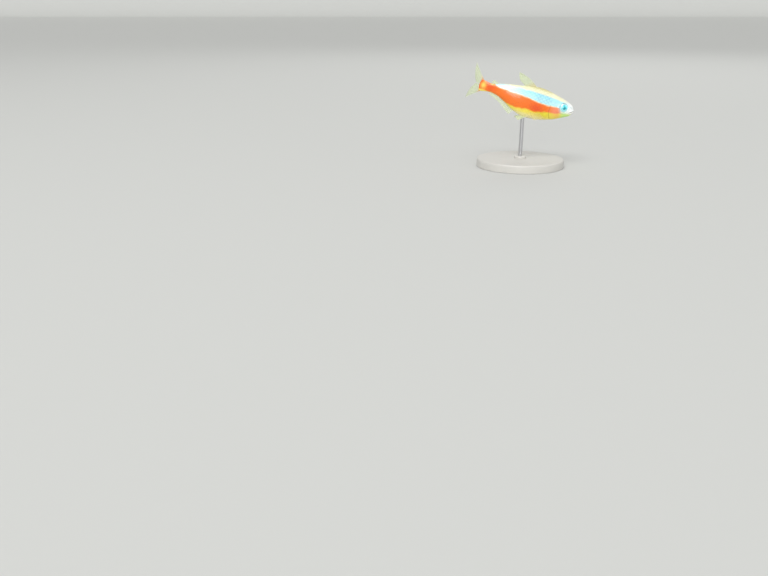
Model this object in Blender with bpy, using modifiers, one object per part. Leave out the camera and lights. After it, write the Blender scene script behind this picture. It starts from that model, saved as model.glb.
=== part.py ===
"""A cardinal tetra at life size, swimming nose down on a plain display stand.

The fish is worked out in its own frame. "Along" is the distance behind the tip of the snout, measured on the
body's long axis, y is to the fish's left and z is up. The tail is swept to the left by bending that axis into
an arc, and an empty then tips the whole fish nose down over its stand. All sizes are in metres.
"""

import math
from typing import NamedTuple

import bmesh
import bpy
import numpy as np
from mathutils import Matrix, Vector

# Driving dimensions
STANDARD_LENGTH = 0.0350  # tip of the snout to the root of the tail fin
NOSE_DOWN = math.radians(15.2)
ROD_HEIGHT = 0.0155  # from the top of the base to the belly
GAP = 0.0003  # left between pieces that touch

# The body's long axis: straight to BEND_START, then an arc to the fish's left
ROD_ALONG = 0.545 * STANDARD_LENGTH
BEND_START = 0.550 * STANDARD_LENGTH
BEND_RADIUS = 0.800 * STANDARD_LENGTH

# Distance behind the snout, height of the back, depth of the belly and half the width, in standard lengths
STATIONS = (
    (0.00, 0.046, -0.048, 0.030),
    (0.05, 0.068, -0.068, 0.044),
    (0.10, 0.087, -0.094, 0.056),
    (0.20, 0.111, -0.138, 0.069),
    (0.30, 0.131, -0.166, 0.0745),
    (0.42, 0.141, -0.183, 0.075),
    (0.52, 0.126, -0.182, 0.068),
    (0.62, 0.106, -0.148, 0.057),
    (0.72, 0.090, -0.096, 0.044),
    (0.80, 0.073, -0.060, 0.033),
    (0.90, 0.046, -0.044, 0.019),
    (1.00, 0.055, -0.058, 0.012),
)
NOSE_ROUNDING = 0.045 * STANDARD_LENGTH
WIDEST_SHARE = 0.35  # how far the widest level follows the middle of the body's depth
FLANK_POWER = 0.92  # under 1 fills the flanks out beyond an ellipse

# Where the body is parted
HEAD_END = 0.235 * STANDARD_LENGTH
TRUNK_END = 0.862 * STANDARD_LENGTH
GROWN_SPAN = (0.10 * STANDARD_LENGTH, 0.94 * STANDARD_LENGTH)  # the length that fins and rod are cut clear of
SIDES = 36  # points round the body

# Mouth: its line falls from the tip of the snout to the corner below the front of the eye
MOUTH_TIP_Z = 0.004 * STANDARD_LENGTH
MOUTH_CORNER_ALONG = 0.058 * STANDARD_LENGTH
MOUTH_CORNER_Z = -0.030 * STANDARD_LENGTH
CHIN_ALONG = 0.092 * STANDARD_LENGTH
LIP_LIFT = 0.00016
LIP_OFF_LINE = 0.00036
LIP_WIDTH = 0.00022

# Eyes, nostrils and gill covers
EYE_ALONG = 0.120 * STANDARD_LENGTH
EYE_Z = 0.012 * STANDARD_LENGTH
EYE_RADIUS = 0.046 * STANDARD_LENGTH
EYE_DEPTH = 0.00085  # half the eye's thickness
EYE_PROUD = 0.00040  # how far its dome stands out of the head
PUPIL_RADIUS = 0.45 * EYE_RADIUS
PUPIL_LIFT = 0.00012
ORBIT_RIM = 0.00010
ORBIT_RIM_AT = 1.22 * EYE_RADIUS
ORBIT_RIM_WIDTH = 0.22 * EYE_RADIUS
NOSTRILS = ((0.036, 0.030, 0.00024), (0.050, 0.036, 0.00032))  # along, height and radius of each opening
GILL_ALONG = 0.210 * STANDARD_LENGTH
GILL_Z = -0.020 * STANDARD_LENGTH
GILL_REARWARD = 0.057 * STANDARD_LENGTH
GILL_UPWARD = 0.060 * STANDARD_LENGTH
GILL_FORWARD = 0.034 * STANDARD_LENGTH
GILL_DOWNWARD = 0.080 * STANDARD_LENGTH
GILL_DEPTH = 0.00065
GILL_LIFT = 0.00022
CLEAR = 0.20 * STANDARD_LENGTH  # how far cutters reach past the head

# Fins
FIN_THICKNESS = 0.00052
ROOT_THICKNESS = 0.00085
ROOT_REACH = 0.22  # the share of a ray's length over which the root thins to the web
TIP_THICKNESS = 0.00022
TIP_REACH = 0.28
RAY_LIFT = 0.00010
RAY_SHARE = 0.44  # of the distance between two rays, that a ray takes
SCALLOP = 0.035  # how far the edge draws in between two rays, as a share of their length
ROOT_SINK = 0.022  # how far below the skin the rays start, in standard lengths


class FinForm(NamedTuple):
    """A fin's form, in standard lengths. Each pair is for the rays at the two ends of its base."""

    rays: int
    rows: int
    rise: tuple  # degrees above the way to the tail
    length: tuple
    bow: tuple  # how far the tips curve to the tail, to the left and up
    out: tuple = (0.0, 0.0)  # degrees to the left of the way to the tail
    rise_power: float = 1.0  # over 1 keeps the middle rays near the first
    length_power: float = 1.0
    lobe: float = 0.0  # extra length of the rays near the first
    ray_lift: float = RAY_LIFT
    across: tuple = (0.0, 1.0, 0.0)  # the way of its thickness


LOBE_WIDTH = 0.25
DORSAL_BASE = (0.432, 0.548)
DORSAL = FinForm(11, 8, (46, 38), (0.262, 0.096), ((0.056, 0, -0.072), (0.010, 0, -0.004)))
ANAL_BASE = (0.605, 0.850)
ANAL = FinForm(
    17, 6, (-66, -38), (0.058, 0.072), ((0.008, 0, 0.006), (0.015, 0, 0.006)), rise_power=0.6, lobe=0.024
)
ADIPOSE_BASE = (0.815, 0.845)
ADIPOSE = FinForm(4, 6, (38, 26), (0.086, 0.066), ((0.008, 0, -0.012), (0.008, 0, -0.012)), ray_lift=0.0)
CAUDAL_UPPER = FinForm(
    10, 9, (5, 40), (0.115, 0.262), ((0, 0.014, 0), (0.012, 0.014, -0.020)), (14, 14), length_power=1.15
)
CAUDAL_LOWER = FinForm(
    9, 9, (1, -32), (0.115, 0.262), ((0, 0.014, 0), (0.012, 0.014, 0.016)), (14, 14), length_power=1.15
)
PELVIC_ROOTS = ((0.452, 0.027, -0.160), (0.480, 0.012, -0.160))
PELVIC = FinForm(
    8, 6, (-40, -30), (0.138, 0.095), ((0.012, 0, 0.010), (0.012, 0, 0.010)), (32, 8),
    across=(0.62, 0.22, 0.75),
)
PECTORAL_ALONG = (0.288, 0.296)
PECTORAL_Z = (-0.100, -0.130)
PECTORAL = FinForm(
    11, 7, (-4, -34), (0.200, 0.110), ((0.006, -0.022, -0.004), (0.006, -0.022, -0.004)), (24, 30),
    length_power=0.8, across=(-0.40, 0.88, -0.15),
)

# Stand
ROD_INTO_BODY = 0.10 * STANDARD_LENGTH  # before it is cut to the belly
BASE_RADIUS = 0.0160
BASE_HEIGHT = 0.0030
BASE_EDGE = 0.0006
BOSS_RADIUS = 0.0022
BOSS_HEIGHT = 0.0008
ROD_RADIUS = 0.0007


def shares(low, high, count):
    """Evenly spaced numbers from low to high."""
    return np.linspace(low, high, count)


def through_stations(along, column):
    """A cubic through one column of STATIONS, in metres, each slope taken from the station's neighbours."""
    table = np.array(STATIONS)
    x, y = table[:, 0] * STANDARD_LENGTH, table[:, column] * STANDARD_LENGTH
    slope = np.gradient(y, x)
    i = np.clip(np.searchsorted(x, along) - 1, 0, len(x) - 2)
    span = x[i + 1] - x[i]
    t = (along - x[i]) / span
    t2, t3 = t * t, t * t * t
    return (
        (2 * t3 - 3 * t2 + 1) * y[i]
        + (t3 - 2 * t2 + t) * span * slope[i]
        + (3 * t2 - 2 * t3) * y[i + 1]
        + (t3 - t2) * span * slope[i + 1]
    )


def section(along):
    """Height of the back, of the belly and of the widest level, and half the width, at a distance along."""
    along = np.asarray(along, float)
    near = 1 - np.clip(along / NOSE_ROUNDING, 0, 1)
    blunt = np.sqrt(1 - near * near)
    top, bottom, half = (blunt * through_stations(along, column) for column in (1, 2, 3))
    return top, bottom, WIDEST_SHARE * (top + bottom), half


def mouth_line_z(along):
    """Height of the mouth's line at a distance behind the snout."""
    return MOUTH_TIP_Z + (MOUTH_CORNER_Z - MOUTH_TIP_Z) * np.asarray(along) / MOUTH_CORNER_ALONG


def relief(along, z):
    """How far the lips and the rim of the eye's socket stand out of the head."""
    off = z - mouth_line_z(along)
    lips = sum(np.exp(-(((off - side * LIP_OFF_LINE) / LIP_WIDTH) ** 2)) for side in (-1, 1))
    in_mouth = np.clip((MOUTH_CORNER_ALONG - along) / (0.3 * MOUTH_CORNER_ALONG) + 1, 0, 1)
    from_rim = np.hypot(along - EYE_ALONG, z - EYE_Z) - ORBIT_RIM_AT
    rim = np.exp(-((from_rim / ORBIT_RIM_WIDTH) ** 2))
    return LIP_LIFT * lips * in_mouth + ORBIT_RIM * rim


def skin(along, turn, grow=0.0):
    """Points on the skin, as (along, y, z).

    turn is 0 on the back, a quarter turn on the left flank and half a turn on the belly. The flank follows
    the width times the sine to FLANK_POWER, and the height follows the cosine.
    """

    def plain(along, turn):
        top, bottom, level, half = section(along)
        sine, cosine = np.sin(turn), np.cos(turn)
        y = half * np.sign(sine) * np.abs(sine) ** FLANK_POWER
        z = level + np.where(cosine > 0, top - level, level - bottom) * cosine
        return np.stack([along + 0 * y, y, z], -1)

    step = 1e-5
    along = np.asarray(along, float) + 0 * turn
    here = plain(along, turn)
    across = plain(along, turn + 1e-3) - plain(along, turn - 1e-3)
    ahead = plain(along + step, turn) - plain(np.maximum(along - step, 0), turn)
    normal = np.cross(ahead, across)
    normal /= np.maximum(np.linalg.norm(normal, axis=-1, keepdims=True), 1e-12)
    lift = grow + relief(here[..., 0], here[..., 2])
    return here + lift[..., None] * normal


def flank_y(along, z):
    """How far the skin lies from the middle plane, at a distance behind the snout and a height."""
    top, bottom, level, half = section(along)
    cosine = np.where(z > level, (z - level) / (top - level), (z - level) / (level - bottom))
    return half * (1 - np.clip(cosine, -1, 1) ** 2) ** (FLANK_POWER / 2)


def bent(points):
    """Points as (along, y, z), moved to the frame of the fish's empty: past BEND_START the axis is an arc."""
    along, y, z = np.moveaxis(np.asarray(points, float), -1, 0)
    swing = np.maximum(along - BEND_START, 0) / BEND_RADIUS
    x = ROD_ALONG - np.minimum(along, BEND_START) - BEND_RADIUS * np.sin(swing) + y * np.sin(swing)
    return np.stack([x, BEND_RADIUS * (1 - np.cos(swing)) + y * np.cos(swing), z], -1)


def new_collection(name, hidden=False):
    """A collection in the scene."""
    made = bpy.data.collections.new(name)
    bpy.context.scene.collection.children.link(made)
    made.hide_render = hidden
    return made


def finish_material(name, colour, roughness, metallic=0.0):
    """A Principled material."""
    material = bpy.data.materials.new(name)
    material.use_nodes = True
    shader = material.node_tree.nodes["Principled BSDF"]
    shader.inputs["Base Color"].default_value = (*colour, 1.0)
    shader.inputs["Roughness"].default_value = roughness
    shader.inputs["Metallic"].default_value = metallic
    return material


def closed_object(name, points, faces, collection, material=None, parent=None):
    """An object from points and faces that close, its faces pointing out and its round parts smooth."""
    mesh = bpy.data.meshes.new(name)
    mesh.from_pydata([tuple(p) for p in points], [], [tuple(int(i) for i in f) for f in faces])
    shape = bmesh.new()
    shape.from_mesh(mesh)
    bmesh.ops.remove_doubles(shape, verts=shape.verts, dist=1e-7)
    bmesh.ops.recalc_face_normals(shape, faces=shape.faces)
    shape.to_mesh(mesh)
    shape.free()
    mesh.shade_smooth()
    mesh.set_sharp_from_angle(angle=math.radians(40))
    made = bpy.data.objects.new(name, mesh)
    if material:
        mesh.materials.append(material)
    made.parent = parent
    collection.objects.link(made)
    return made


def as_cutter(cutter):
    """Marks an object as a helper that isn't a piece of the model."""
    cutter.hide_render = True
    cutter.display_type = "WIRE"
    return cutter


def cut(piece, cutter, operation="DIFFERENCE"):
    """Cuts a piece by a cutter, or keeps only what lies inside it."""
    modifier = piece.modifiers.new(f"{operation.lower()} {cutter.name}", "BOOLEAN")
    modifier.operation = operation
    modifier.solver = "EXACT"
    modifier.object = cutter


def grid_faces(rows, columns, wrap):
    """Quads of a grid of points, wrapped round if asked."""
    across = columns if wrap else columns - 1
    for r in range(rows - 1):
        for c in range(across):
            d = (c + 1) % columns
            yield (r * columns + c, r * columns + d, (r + 1) * columns + d, (r + 1) * columns + c)


def skin_length(name, stations, collection, material=None, parent=None, grow=0.0):
    """A closed length of the body between the first and last of stations, its ends flat but for the snout."""
    turns = shares(0, 2 * math.pi, SIDES + 1)[:-1]
    along, turn = np.meshgrid(stations, turns, indexing="ij")
    points = skin(along, turn, grow)
    rows = len(stations)
    faces = list(grid_faces(rows, SIDES, True))
    front_centre, rear_centre = points[0].mean(0), points[-1].mean(0)
    flat = np.concatenate([points.reshape(-1, 3), [front_centre, rear_centre]])
    front, rear = rows * SIDES, rows * SIDES + 1
    for c in range(SIDES):
        d = (c + 1) % SIDES
        faces += [(front, d, c), (rear, (rows - 1) * SIDES + c, (rows - 1) * SIDES + d)]
    return closed_object(name, bent(flat), faces, collection, material, parent)


def prism(name, outline, half_width, collection, parent):
    """A closed prism across the fish from an outline of (along, z) points."""
    count = len(outline)
    sides = [[(along, y, z) for along, z in outline] for y in (-half_width, half_width)]
    faces = [tuple(range(count)), tuple(range(2 * count - 1, count - 1, -1))]
    faces += [(i, (i + 1) % count, count + (i + 1) % count, count + i) for i in range(count)]
    return closed_object(name, bent(np.array(sides[0] + sides[1])), faces, collection, None, parent)


def sheet_solid(name, middle, across, half, collection, material, parent):
    """A closed thin solid on a grid of (along, y, z) points, split along the same diagonals on both faces.

    across is the unit vector of its thickness and half the half thickness at each point.
    """
    rows, columns = half.shape
    layers = [bent(middle + side * half[..., None] * across).reshape(-1, 3) for side in (-1, 1)]
    count = rows * columns
    faces = []
    for a, b, c, d in grid_faces(rows, columns, False):
        faces += [(a, b, c), (a, c, d)]
        faces += [(count + a, count + c, count + b), (count + a, count + d, count + c)]
    rim = [c for c in range(columns)]
    rim += [r * columns + columns - 1 for r in range(1, rows)]
    rim += [(rows - 1) * columns + c for c in range(columns - 2, -1, -1)]
    rim += [r * columns for r in range(rows - 2, 0, -1)]
    for i, a in enumerate(rim):
        b = rim[(i + 1) % len(rim)]
        faces += [(a, b, count + b), (a, count + b, count + a)]
    return closed_object(name, np.concatenate(layers), faces, collection, material, parent)


def ray_columns(rays):
    """Places of a fin's grid columns from 0 to 1, and how far each stands on a ray, from 0 to 1."""
    crests = shares(0, 1, rays)
    foot = 0.5 * RAY_SHARE / (rays - 1)
    places = np.unique(np.clip(np.concatenate([crests - foot, crests, crests + foot]), 0, 1))
    crest = np.isclose(places[:, None], crests, atol=1e-9).any(1)
    return places, crest.astype(float)


def fin_thickness(crest, reach, ray_lift):
    """Half the thickness over a fin's grid: thick at the root, thin at the tip, and raised on the rays."""
    root = np.clip(1 - reach / ROOT_REACH, 0, 1) ** 2
    tip = np.clip(1 - (1 - reach) / TIP_REACH, 0, 1)
    web = mix(mix(FIN_THICKNESS, ROOT_THICKNESS, root), TIP_THICKNESS, tip)
    return web / 2 + ray_lift * crest * (1 - 0.7 * tip)


def fin(name, form, root, collection, material, parent):
    """A fin as a thin solid with its rays raised on both faces.

    root gives the points that the rays start from, for places from 0 to 1 along the fin's base. Each ray runs
    straight on at first and curves by the reach squared times its bow.
    """
    places, crest = ray_columns(form.rays)
    reach = shares(0, 1, form.rows)[:, None]
    rise = np.radians(mix(*form.rise, places ** form.rise_power))
    out = np.radians(mix(*form.out, places))
    long = mix(*form.length, places ** form.length_power) + form.lobe * np.exp(-((places / LOBE_WIDTH) ** 2))
    long = lengths(long) * (1 - SCALLOP * (1 - crest))
    first, last = (lengths(np.array(bow)) for bow in form.bow)
    bow = mix(first, last, places[:, None])
    middle = root(places) + (reach * long)[..., None] * backwards(rise, out) + (reach ** 2)[..., None] * bow
    across = np.broadcast_to(np.array(form.across) / np.linalg.norm(form.across), middle.shape)
    half = fin_thickness(crest[None, :], np.broadcast_to(reach, middle.shape[:2]), form.ray_lift)
    return sheet_solid(name, middle, across, half, collection, material, parent)


def backwards(rise, out):
    """Unit vectors that point to the tail, raised by one angle and turned to the left by another."""
    return np.stack([np.cos(rise) * np.cos(out), np.sin(out), np.sin(rise) * np.cos(out)], -1)


def mix(low, high, share):
    """A value between two others."""
    return low + (high - low) * share


def lengths(share):
    """A share of the standard length, in metres."""
    return share * STANDARD_LENGTH


def straight_root(first, last):
    """Roots on a straight line between two points in metres."""
    return lambda places: mix(np.array(first), np.array(last), places[:, None])


def median_root(base, on_back):
    """Roots of a fin on the back or belly, sunk below the skin, over a length of the body."""

    def root(places):
        along = lengths(mix(*base, places))
        top, bottom, _, _ = section(along)
        z = top - lengths(ROOT_SINK) if on_back else bottom + lengths(ROOT_SINK)
        return np.stack([along, 0 * z, z], -1)

    return root


def to_side(form, side):
    """A paired fin's form for one side, 1 on the left and -1 on the right."""
    mirror = np.array([1, side, 1])
    return form._replace(
        out=tuple(side * angle for angle in form.out),
        bow=tuple(mirror * bow for bow in form.bow),
        across=tuple(mirror * form.across),
    )


def build_dorsal_fin(collection, material, parent):
    """The fin on the back, half folded: its front ray is the longest and curves back to the tip."""
    return fin("dorsal_fin", DORSAL, median_root(DORSAL_BASE, True), collection, material, parent)


def build_anal_fin(collection, material, parent):
    """The long fin under the tail, with a front lobe and a hollow edge behind it."""
    return fin("anal_fin", ANAL, median_root(ANAL_BASE, False), collection, material, parent)


def build_adipose_fin(collection, material, parent):
    """The small rayless fin between the dorsal and the tail fin."""
    return fin("adipose_fin", ADIPOSE, median_root(ADIPOSE_BASE, True), collection, material, parent)


def build_caudal_lobes(collection, material, parent):
    """The two lobes of the spread tail fin. Their short inner rays meet at the fork."""
    along = STANDARD_LENGTH + GAP
    top, bottom, level, _ = (float(size) for size in section(STANDARD_LENGTH))
    for name, form, side, outer in (("upper", CAUDAL_UPPER, 1, top), ("lower", CAUDAL_LOWER, -1, bottom)):
        root = straight_root((along, 0, level + side * GAP / 2), (along, 0, outer))
        fin(f"caudal_fin_{name}", form, root, collection, material, parent)


def build_pelvic_fin(collection, material, parent, side):
    """One of the two fins on the belly."""
    first, last = (lengths(np.array([1, side, 1]) * point) for point in PELVIC_ROOTS)
    name = "pelvic_fin_left" if side > 0 else "pelvic_fin_right"
    return fin(name, to_side(PELVIC, side), straight_root(first, last), collection, material, parent)


def build_pectoral_fin(collection, material, parent, side):
    """One of the two fins behind the gill covers."""
    out = float(flank_y(lengths(PECTORAL_ALONG[0]), lengths(PECTORAL_Z[0]))) - lengths(ROOT_SINK)
    first, last = ((lengths(along), side * out, lengths(z)) for along, z in zip(PECTORAL_ALONG, PECTORAL_Z))
    name = "pectoral_fin_left" if side > 0 else "pectoral_fin_right"
    return fin(name, to_side(PECTORAL, side), straight_root(first, last), collection, material, parent)


def eye_frame(side):
    """The place and facing of an eye: on the skin, looking out along the skin's own slope."""
    step = 1e-4
    here = float(flank_y(EYE_ALONG, EYE_Z))
    slope = float(flank_y(EYE_ALONG + step, EYE_Z) - flank_y(EYE_ALONG - step, EYE_Z)) / (2 * step)
    facing = Vector((slope, side, 0.0)).normalized()  # along the empty's own axes, where +x is forwards
    centre = Vector((ROD_ALONG - EYE_ALONG, side * here, EYE_Z)) + facing * (EYE_PROUD - EYE_DEPTH)
    return Matrix.Translation(centre) @ facing.to_track_quat("Z", "Y").to_matrix().to_4x4()


def turned(name, profile, steps, collection, material, parent=None):
    """A solid turned about its Z axis from a profile of (radius, height) points down its outer side."""
    mesh = bpy.data.meshes.new(name)
    edges = [(i, i + 1) for i in range(len(profile) - 1)]
    mesh.from_pydata([(r, 0.0, z) for r, z in profile], edges, [])
    made = bpy.data.objects.new(name, mesh)
    screw = made.modifiers.new("turn", "SCREW")
    screw.axis = "Z"
    screw.steps = screw.render_steps = steps
    screw.use_merge_vertices = True
    screw.merge_threshold = 1e-6
    screw.use_smooth_shade = True
    if material:
        mesh.materials.append(material)
    made.parent = parent
    collection.objects.link(made)
    return made


def eye_profile(grow):
    """Profile of an eye from its dome to its back: an ellipse, with the pupil's lens raised on the dome."""
    radius, depth = EYE_RADIUS + grow, EYE_DEPTH + grow
    points = []
    for angle in shares(0, math.pi, 15):
        r, z = radius * math.sin(angle), depth * math.cos(angle)
        raised = PUPIL_LIFT * max(0.0, 1 - (r / PUPIL_RADIUS) ** 4) if angle < 1.5 and not grow else 0.0
        points.append((max(r, 0.0) if 0 < angle < math.pi else 0.0, z + raised))
    return points


def build_eye(collection, cutters, material, parent, side):
    """An eye and the cutter of its socket."""
    name = "left" if side > 0 else "right"
    eye = turned(f"eye_{name}", eye_profile(0.0), 24, collection, material, parent)
    socket = as_cutter(turned(f"socket {name}", eye_profile(GAP), 24, cutters, None, parent))
    for piece in (eye, socket):
        piece.matrix_local = eye_frame(side)
    return socket


def gill_patch(name, side, margin, out, into, collection, material, parent):
    """A closed piece of the cheek, from out above the skin to into below it.

    Its outline in side view is four quarter ellipses, grown by margin. The flap lifts towards its rear edge.
    """
    angles, rings = shares(0, 2 * math.pi, 29)[:-1], shares(0, 1, 6)[1:]
    reaches = (GILL_REARWARD, GILL_UPWARD, GILL_FORWARD, GILL_DOWNWARD)
    rear, up, front, down = (reach + margin for reach in reaches)

    def place(angle, ring):
        wide = rear if math.cos(angle) > 0 else front
        high = up if math.sin(angle) > 0 else down
        along = GILL_ALONG + ring * wide * math.cos(angle)
        z = GILL_Z + ring * high * math.sin(angle)
        lift = GILL_LIFT * max(0.0, (along - GILL_ALONG) / rear) if not margin else 0.0
        y = float(flank_y(along, z))
        return [(along, side * (y + out + lift), z), (along, side * (y - into), z)]

    spots = [place(0.0, 0.0)] + [place(a, r) for r in rings for a in angles]
    count, around = len(spots), len(angles)
    points = [spot[0] for spot in spots] + [spot[1] for spot in spots]
    faces = []
    for layer, turn in ((0, 1), (count, -1)):
        for c in range(around):
            d = (c + 1) % around
            faces.append(tuple(layer + i for i in (0, 1 + c, 1 + d))[::turn])
            for r in range(len(rings) - 1):
                inner, outer = 1 + r * around, 1 + (r + 1) * around
                faces.append(tuple(layer + i for i in (inner + c, outer + c, outer + d, inner + d))[::turn])
    last = 1 + (len(rings) - 1) * around
    faces += [(last + c, count + last + c, count + last + (c + 1) % around, last + (c + 1) % around)
              for c in range(around)]
    return closed_object(name, bent(np.array(points)), faces, collection, material, parent)


def jaw_outline(margin):
    """Outline in side view of the lower jaw, from in front of the snout to its corner and down to the chin.

    margin moves its upper and rear edges into the head.
    """
    below = -CLEAR
    ahead = -NOSE_ROUNDING
    corner = MOUTH_CORNER_ALONG
    rise = margin - GAP / 2
    return [
        (ahead, float(mouth_line_z(ahead)) + rise),
        (0.5 * corner, float(mouth_line_z(0.5 * corner)) + rise),
        (0.92 * corner + margin, float(mouth_line_z(0.92 * corner)) + rise),
        (corner + margin, float(mouth_line_z(corner)) - GAP / 2),
        (mix(corner, CHIN_ALONG, 0.45) + margin, -lengths(0.058)),
        (CHIN_ALONG + margin, -lengths(0.090)),
        (CHIN_ALONG + margin, below),
        (ahead, below),
    ]


def build_nostril(name, along, z, radius, side, cutters, parent):
    """The cutter of one opening of the nose, a small ball centred on the skin."""
    bpy.ops.mesh.primitive_uv_sphere_add(segments=10, ring_count=6, radius=radius)
    ball = as_cutter(bpy.context.object)
    ball.name = name
    for owner in ball.users_collection:
        owner.objects.unlink(ball)
    cutters.objects.link(ball)
    ball.parent = parent
    ball.location = (ROD_ALONG - along, side * float(flank_y(along, z)), z)
    return ball


def build_fish(parts, cutters, finishes, empty):
    """Every piece of the fish, and the grown body that the fins' roots and the rod are cut clear of."""
    snout = HEAD_END * shares(0, 1, 24)[1:] ** 1.5
    front = np.concatenate([[2e-5], snout])
    head = skin_length("head", front, parts, finishes["head"], empty)
    middle = shares(HEAD_END + GAP, TRUNK_END, 20)
    trunk = skin_length("trunk", middle, parts, finishes["trunk"], empty)
    stem = shares(TRUNK_END + GAP, STANDARD_LENGTH, 7)
    skin_length("tail_stem", stem, parts, finishes["trunk"], empty)

    jaw = skin_length("lower_jaw", front[: len(front) - 8], parts, finishes["head"], empty)
    cut(jaw, as_cutter(prism("jaw inside", jaw_outline(0.0), CLEAR, cutters, empty)), "INTERSECT")
    cut(head, as_cutter(prism("jaw room", jaw_outline(GAP), CLEAR, cutters, empty)))

    for side, name in ((1, "left"), (-1, "right")):
        cut(head, build_eye(parts, cutters, finishes["eye"], empty, side))
        for place, (along, z, radius) in enumerate(NOSTRILS):
            hole = f"nostril {name} {place}"
            cut(head, build_nostril(hole, lengths(along), lengths(z), radius, side, cutters, empty))
        gill_patch(f"gill_cover_{name}", side, 0.0, 0.0, GILL_DEPTH, parts, finishes["gill_cover"], empty)
        room = gill_patch(f"gill room {name}", side, GAP, 0.001, GILL_DEPTH + GAP, cutters, None, empty)
        for piece in (head, trunk):
            cut(piece, as_cutter(room))

    grown = skin_length("grown body", shares(*GROWN_SPAN, 30), cutters, None, empty, grow=GAP)
    as_cutter(grown)
    membrane = finishes["fin"]
    build_caudal_lobes(parts, membrane, empty)
    for build in (build_dorsal_fin, build_anal_fin, build_adipose_fin):
        cut(build(parts, membrane, empty), grown)
    for build in (build_pelvic_fin, build_pectoral_fin):
        for side in (1, -1):
            cut(build(parts, membrane, empty, side), grown)
    return grown


def build_stand(parts, finishes, grown):
    """The flat base with its boss, and the rod that reaches up to the belly and is cut to it."""
    profile = [
        (0.0, BASE_HEIGHT + BOSS_HEIGHT),
        (BOSS_RADIUS - BASE_EDGE / 2, BASE_HEIGHT + BOSS_HEIGHT),
        (BOSS_RADIUS, BASE_HEIGHT + BOSS_HEIGHT - BASE_EDGE / 2),
        (BOSS_RADIUS, BASE_HEIGHT),
    ]
    for angle in shares(0, math.pi / 2, 5):
        r = BASE_RADIUS - BASE_EDGE * (1 - math.sin(angle))
        profile.append((r, BASE_HEIGHT - BASE_EDGE * (1 - math.cos(angle))))
    profile += [(BASE_RADIUS, BASE_EDGE / 2), (BASE_RADIUS - BASE_EDGE / 2, 0.0), (0.0, 0.0)]
    turned("stand_base", profile, 56, parts, finishes["base"])

    foot = BASE_HEIGHT + BOSS_HEIGHT + GAP
    height = ROD_HEIGHT + ROD_INTO_BODY
    bpy.ops.mesh.primitive_cylinder_add(vertices=20, radius=ROD_RADIUS, depth=height)
    rod = bpy.context.object
    rod.name = "stand_rod"
    rod.location = (0.0, 0.0, foot + height / 2)
    rod.data.materials.append(finishes["rod"])
    rod.data.shade_smooth()
    rod.data.set_sharp_from_angle(angle=math.radians(40))
    for owner in rod.users_collection:
        owner.objects.unlink(rod)
    parts.objects.link(rod)
    cut(rod, grown)


def main():
    """Clears the scene and builds the fish and its stand."""
    for old in list(bpy.data.objects):
        bpy.data.objects.remove(old)
    parts = new_collection("cardinal tetra")
    cutters = new_collection("cutters", hidden=True)
    finishes = {
        "head": finish_material("head skin", (0.62, 0.90, 0.95), 0.35, 0.2),
        "trunk": finish_material("flank skin", (0.90, 0.22, 0.06), 0.35, 0.1),
        "gill_cover": finish_material("gill cover", (0.88, 0.40, 0.25), 0.30, 0.2),
        "eye": finish_material("eye", (0.10, 0.45, 0.50), 0.08),
        "fin": finish_material("fin membrane", (0.80, 0.86, 0.66), 0.30),
        "base": finish_material("painted base", (0.72, 0.72, 0.70), 0.50),
        "rod": finish_material("steel rod", (0.60, 0.60, 0.60), 0.30, 1.0),
    }
    empty = bpy.data.objects.new("fish pose", None)
    parts.objects.link(empty)
    _, belly, _, _ = section(ROD_ALONG)
    empty.location = (0.0, 0.0, BASE_HEIGHT + ROD_HEIGHT - float(belly) / math.cos(NOSE_DOWN))
    empty.rotation_euler = (0.0, NOSE_DOWN, 0.0)
    grown = build_fish(parts, cutters, finishes, empty)
    build_stand(parts, finishes, grown)


main()
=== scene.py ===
"""A cardinal tetra at life size on its stand: skin, scales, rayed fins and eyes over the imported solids.

Lengths are in metres. The fish is worked out in its own frame: "along" is the distance behind the tip of the
snout on the body's long axis, y is to the fish's left and z is up. BodyForm.placed bends that axis into the
sweep of the tail, tips the nose down and sets the fish over its rod.
"""

import logging
import math
from dataclasses import dataclass, replace
from enum import Enum
from typing import NamedTuple

import bmesh
import bpy
import numpy as np
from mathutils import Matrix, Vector


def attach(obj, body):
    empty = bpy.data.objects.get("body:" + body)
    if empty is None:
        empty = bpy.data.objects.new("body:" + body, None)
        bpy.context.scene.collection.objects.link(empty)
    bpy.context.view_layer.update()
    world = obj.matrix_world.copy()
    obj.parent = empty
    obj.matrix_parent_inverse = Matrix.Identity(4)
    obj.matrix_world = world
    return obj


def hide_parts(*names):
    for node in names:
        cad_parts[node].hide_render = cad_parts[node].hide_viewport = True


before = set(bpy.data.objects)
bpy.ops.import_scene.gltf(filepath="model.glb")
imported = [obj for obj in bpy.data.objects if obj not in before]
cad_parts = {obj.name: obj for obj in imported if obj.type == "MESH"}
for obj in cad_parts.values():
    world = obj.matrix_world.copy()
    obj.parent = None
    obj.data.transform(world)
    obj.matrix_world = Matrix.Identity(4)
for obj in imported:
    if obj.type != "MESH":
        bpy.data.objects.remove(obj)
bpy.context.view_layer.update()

Array = np.ndarray
Colour = tuple[int, int, int]  # screen values of 0 to 255
Paint = Colour | Array
Point = tuple[float, float, float]
Piece = bpy.types.Object
Material = bpy.types.Material
LOG = logging.getLogger("tetra")
MM = 0.001
MAP = "OFBake"
SHARP = math.radians(78)  # edges that bend more than this stay sharp
MERGE = 2e-7  # points of a pole or seam lie nearer together than this
PATCH = 0.003  # how wide a scale's patch is on the coat's UV map
BLACK: Colour = (0, 0, 0)


# ---------------------------------------------------------------- numbers and colours


def tint(colour: Paint) -> Array:
    """A linear colour.

    Args:
        colour: Screen values of 0 to 255, or colours that are linear already.

    Returns:
        Linear values of 0 to 1.
    """
    if isinstance(colour, np.ndarray):
        return colour
    value = np.array(colour) / 255.0
    return np.where(value <= 0.04045, value / 12.92, ((value + 0.055) / 1.055) ** 2.4)


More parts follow.
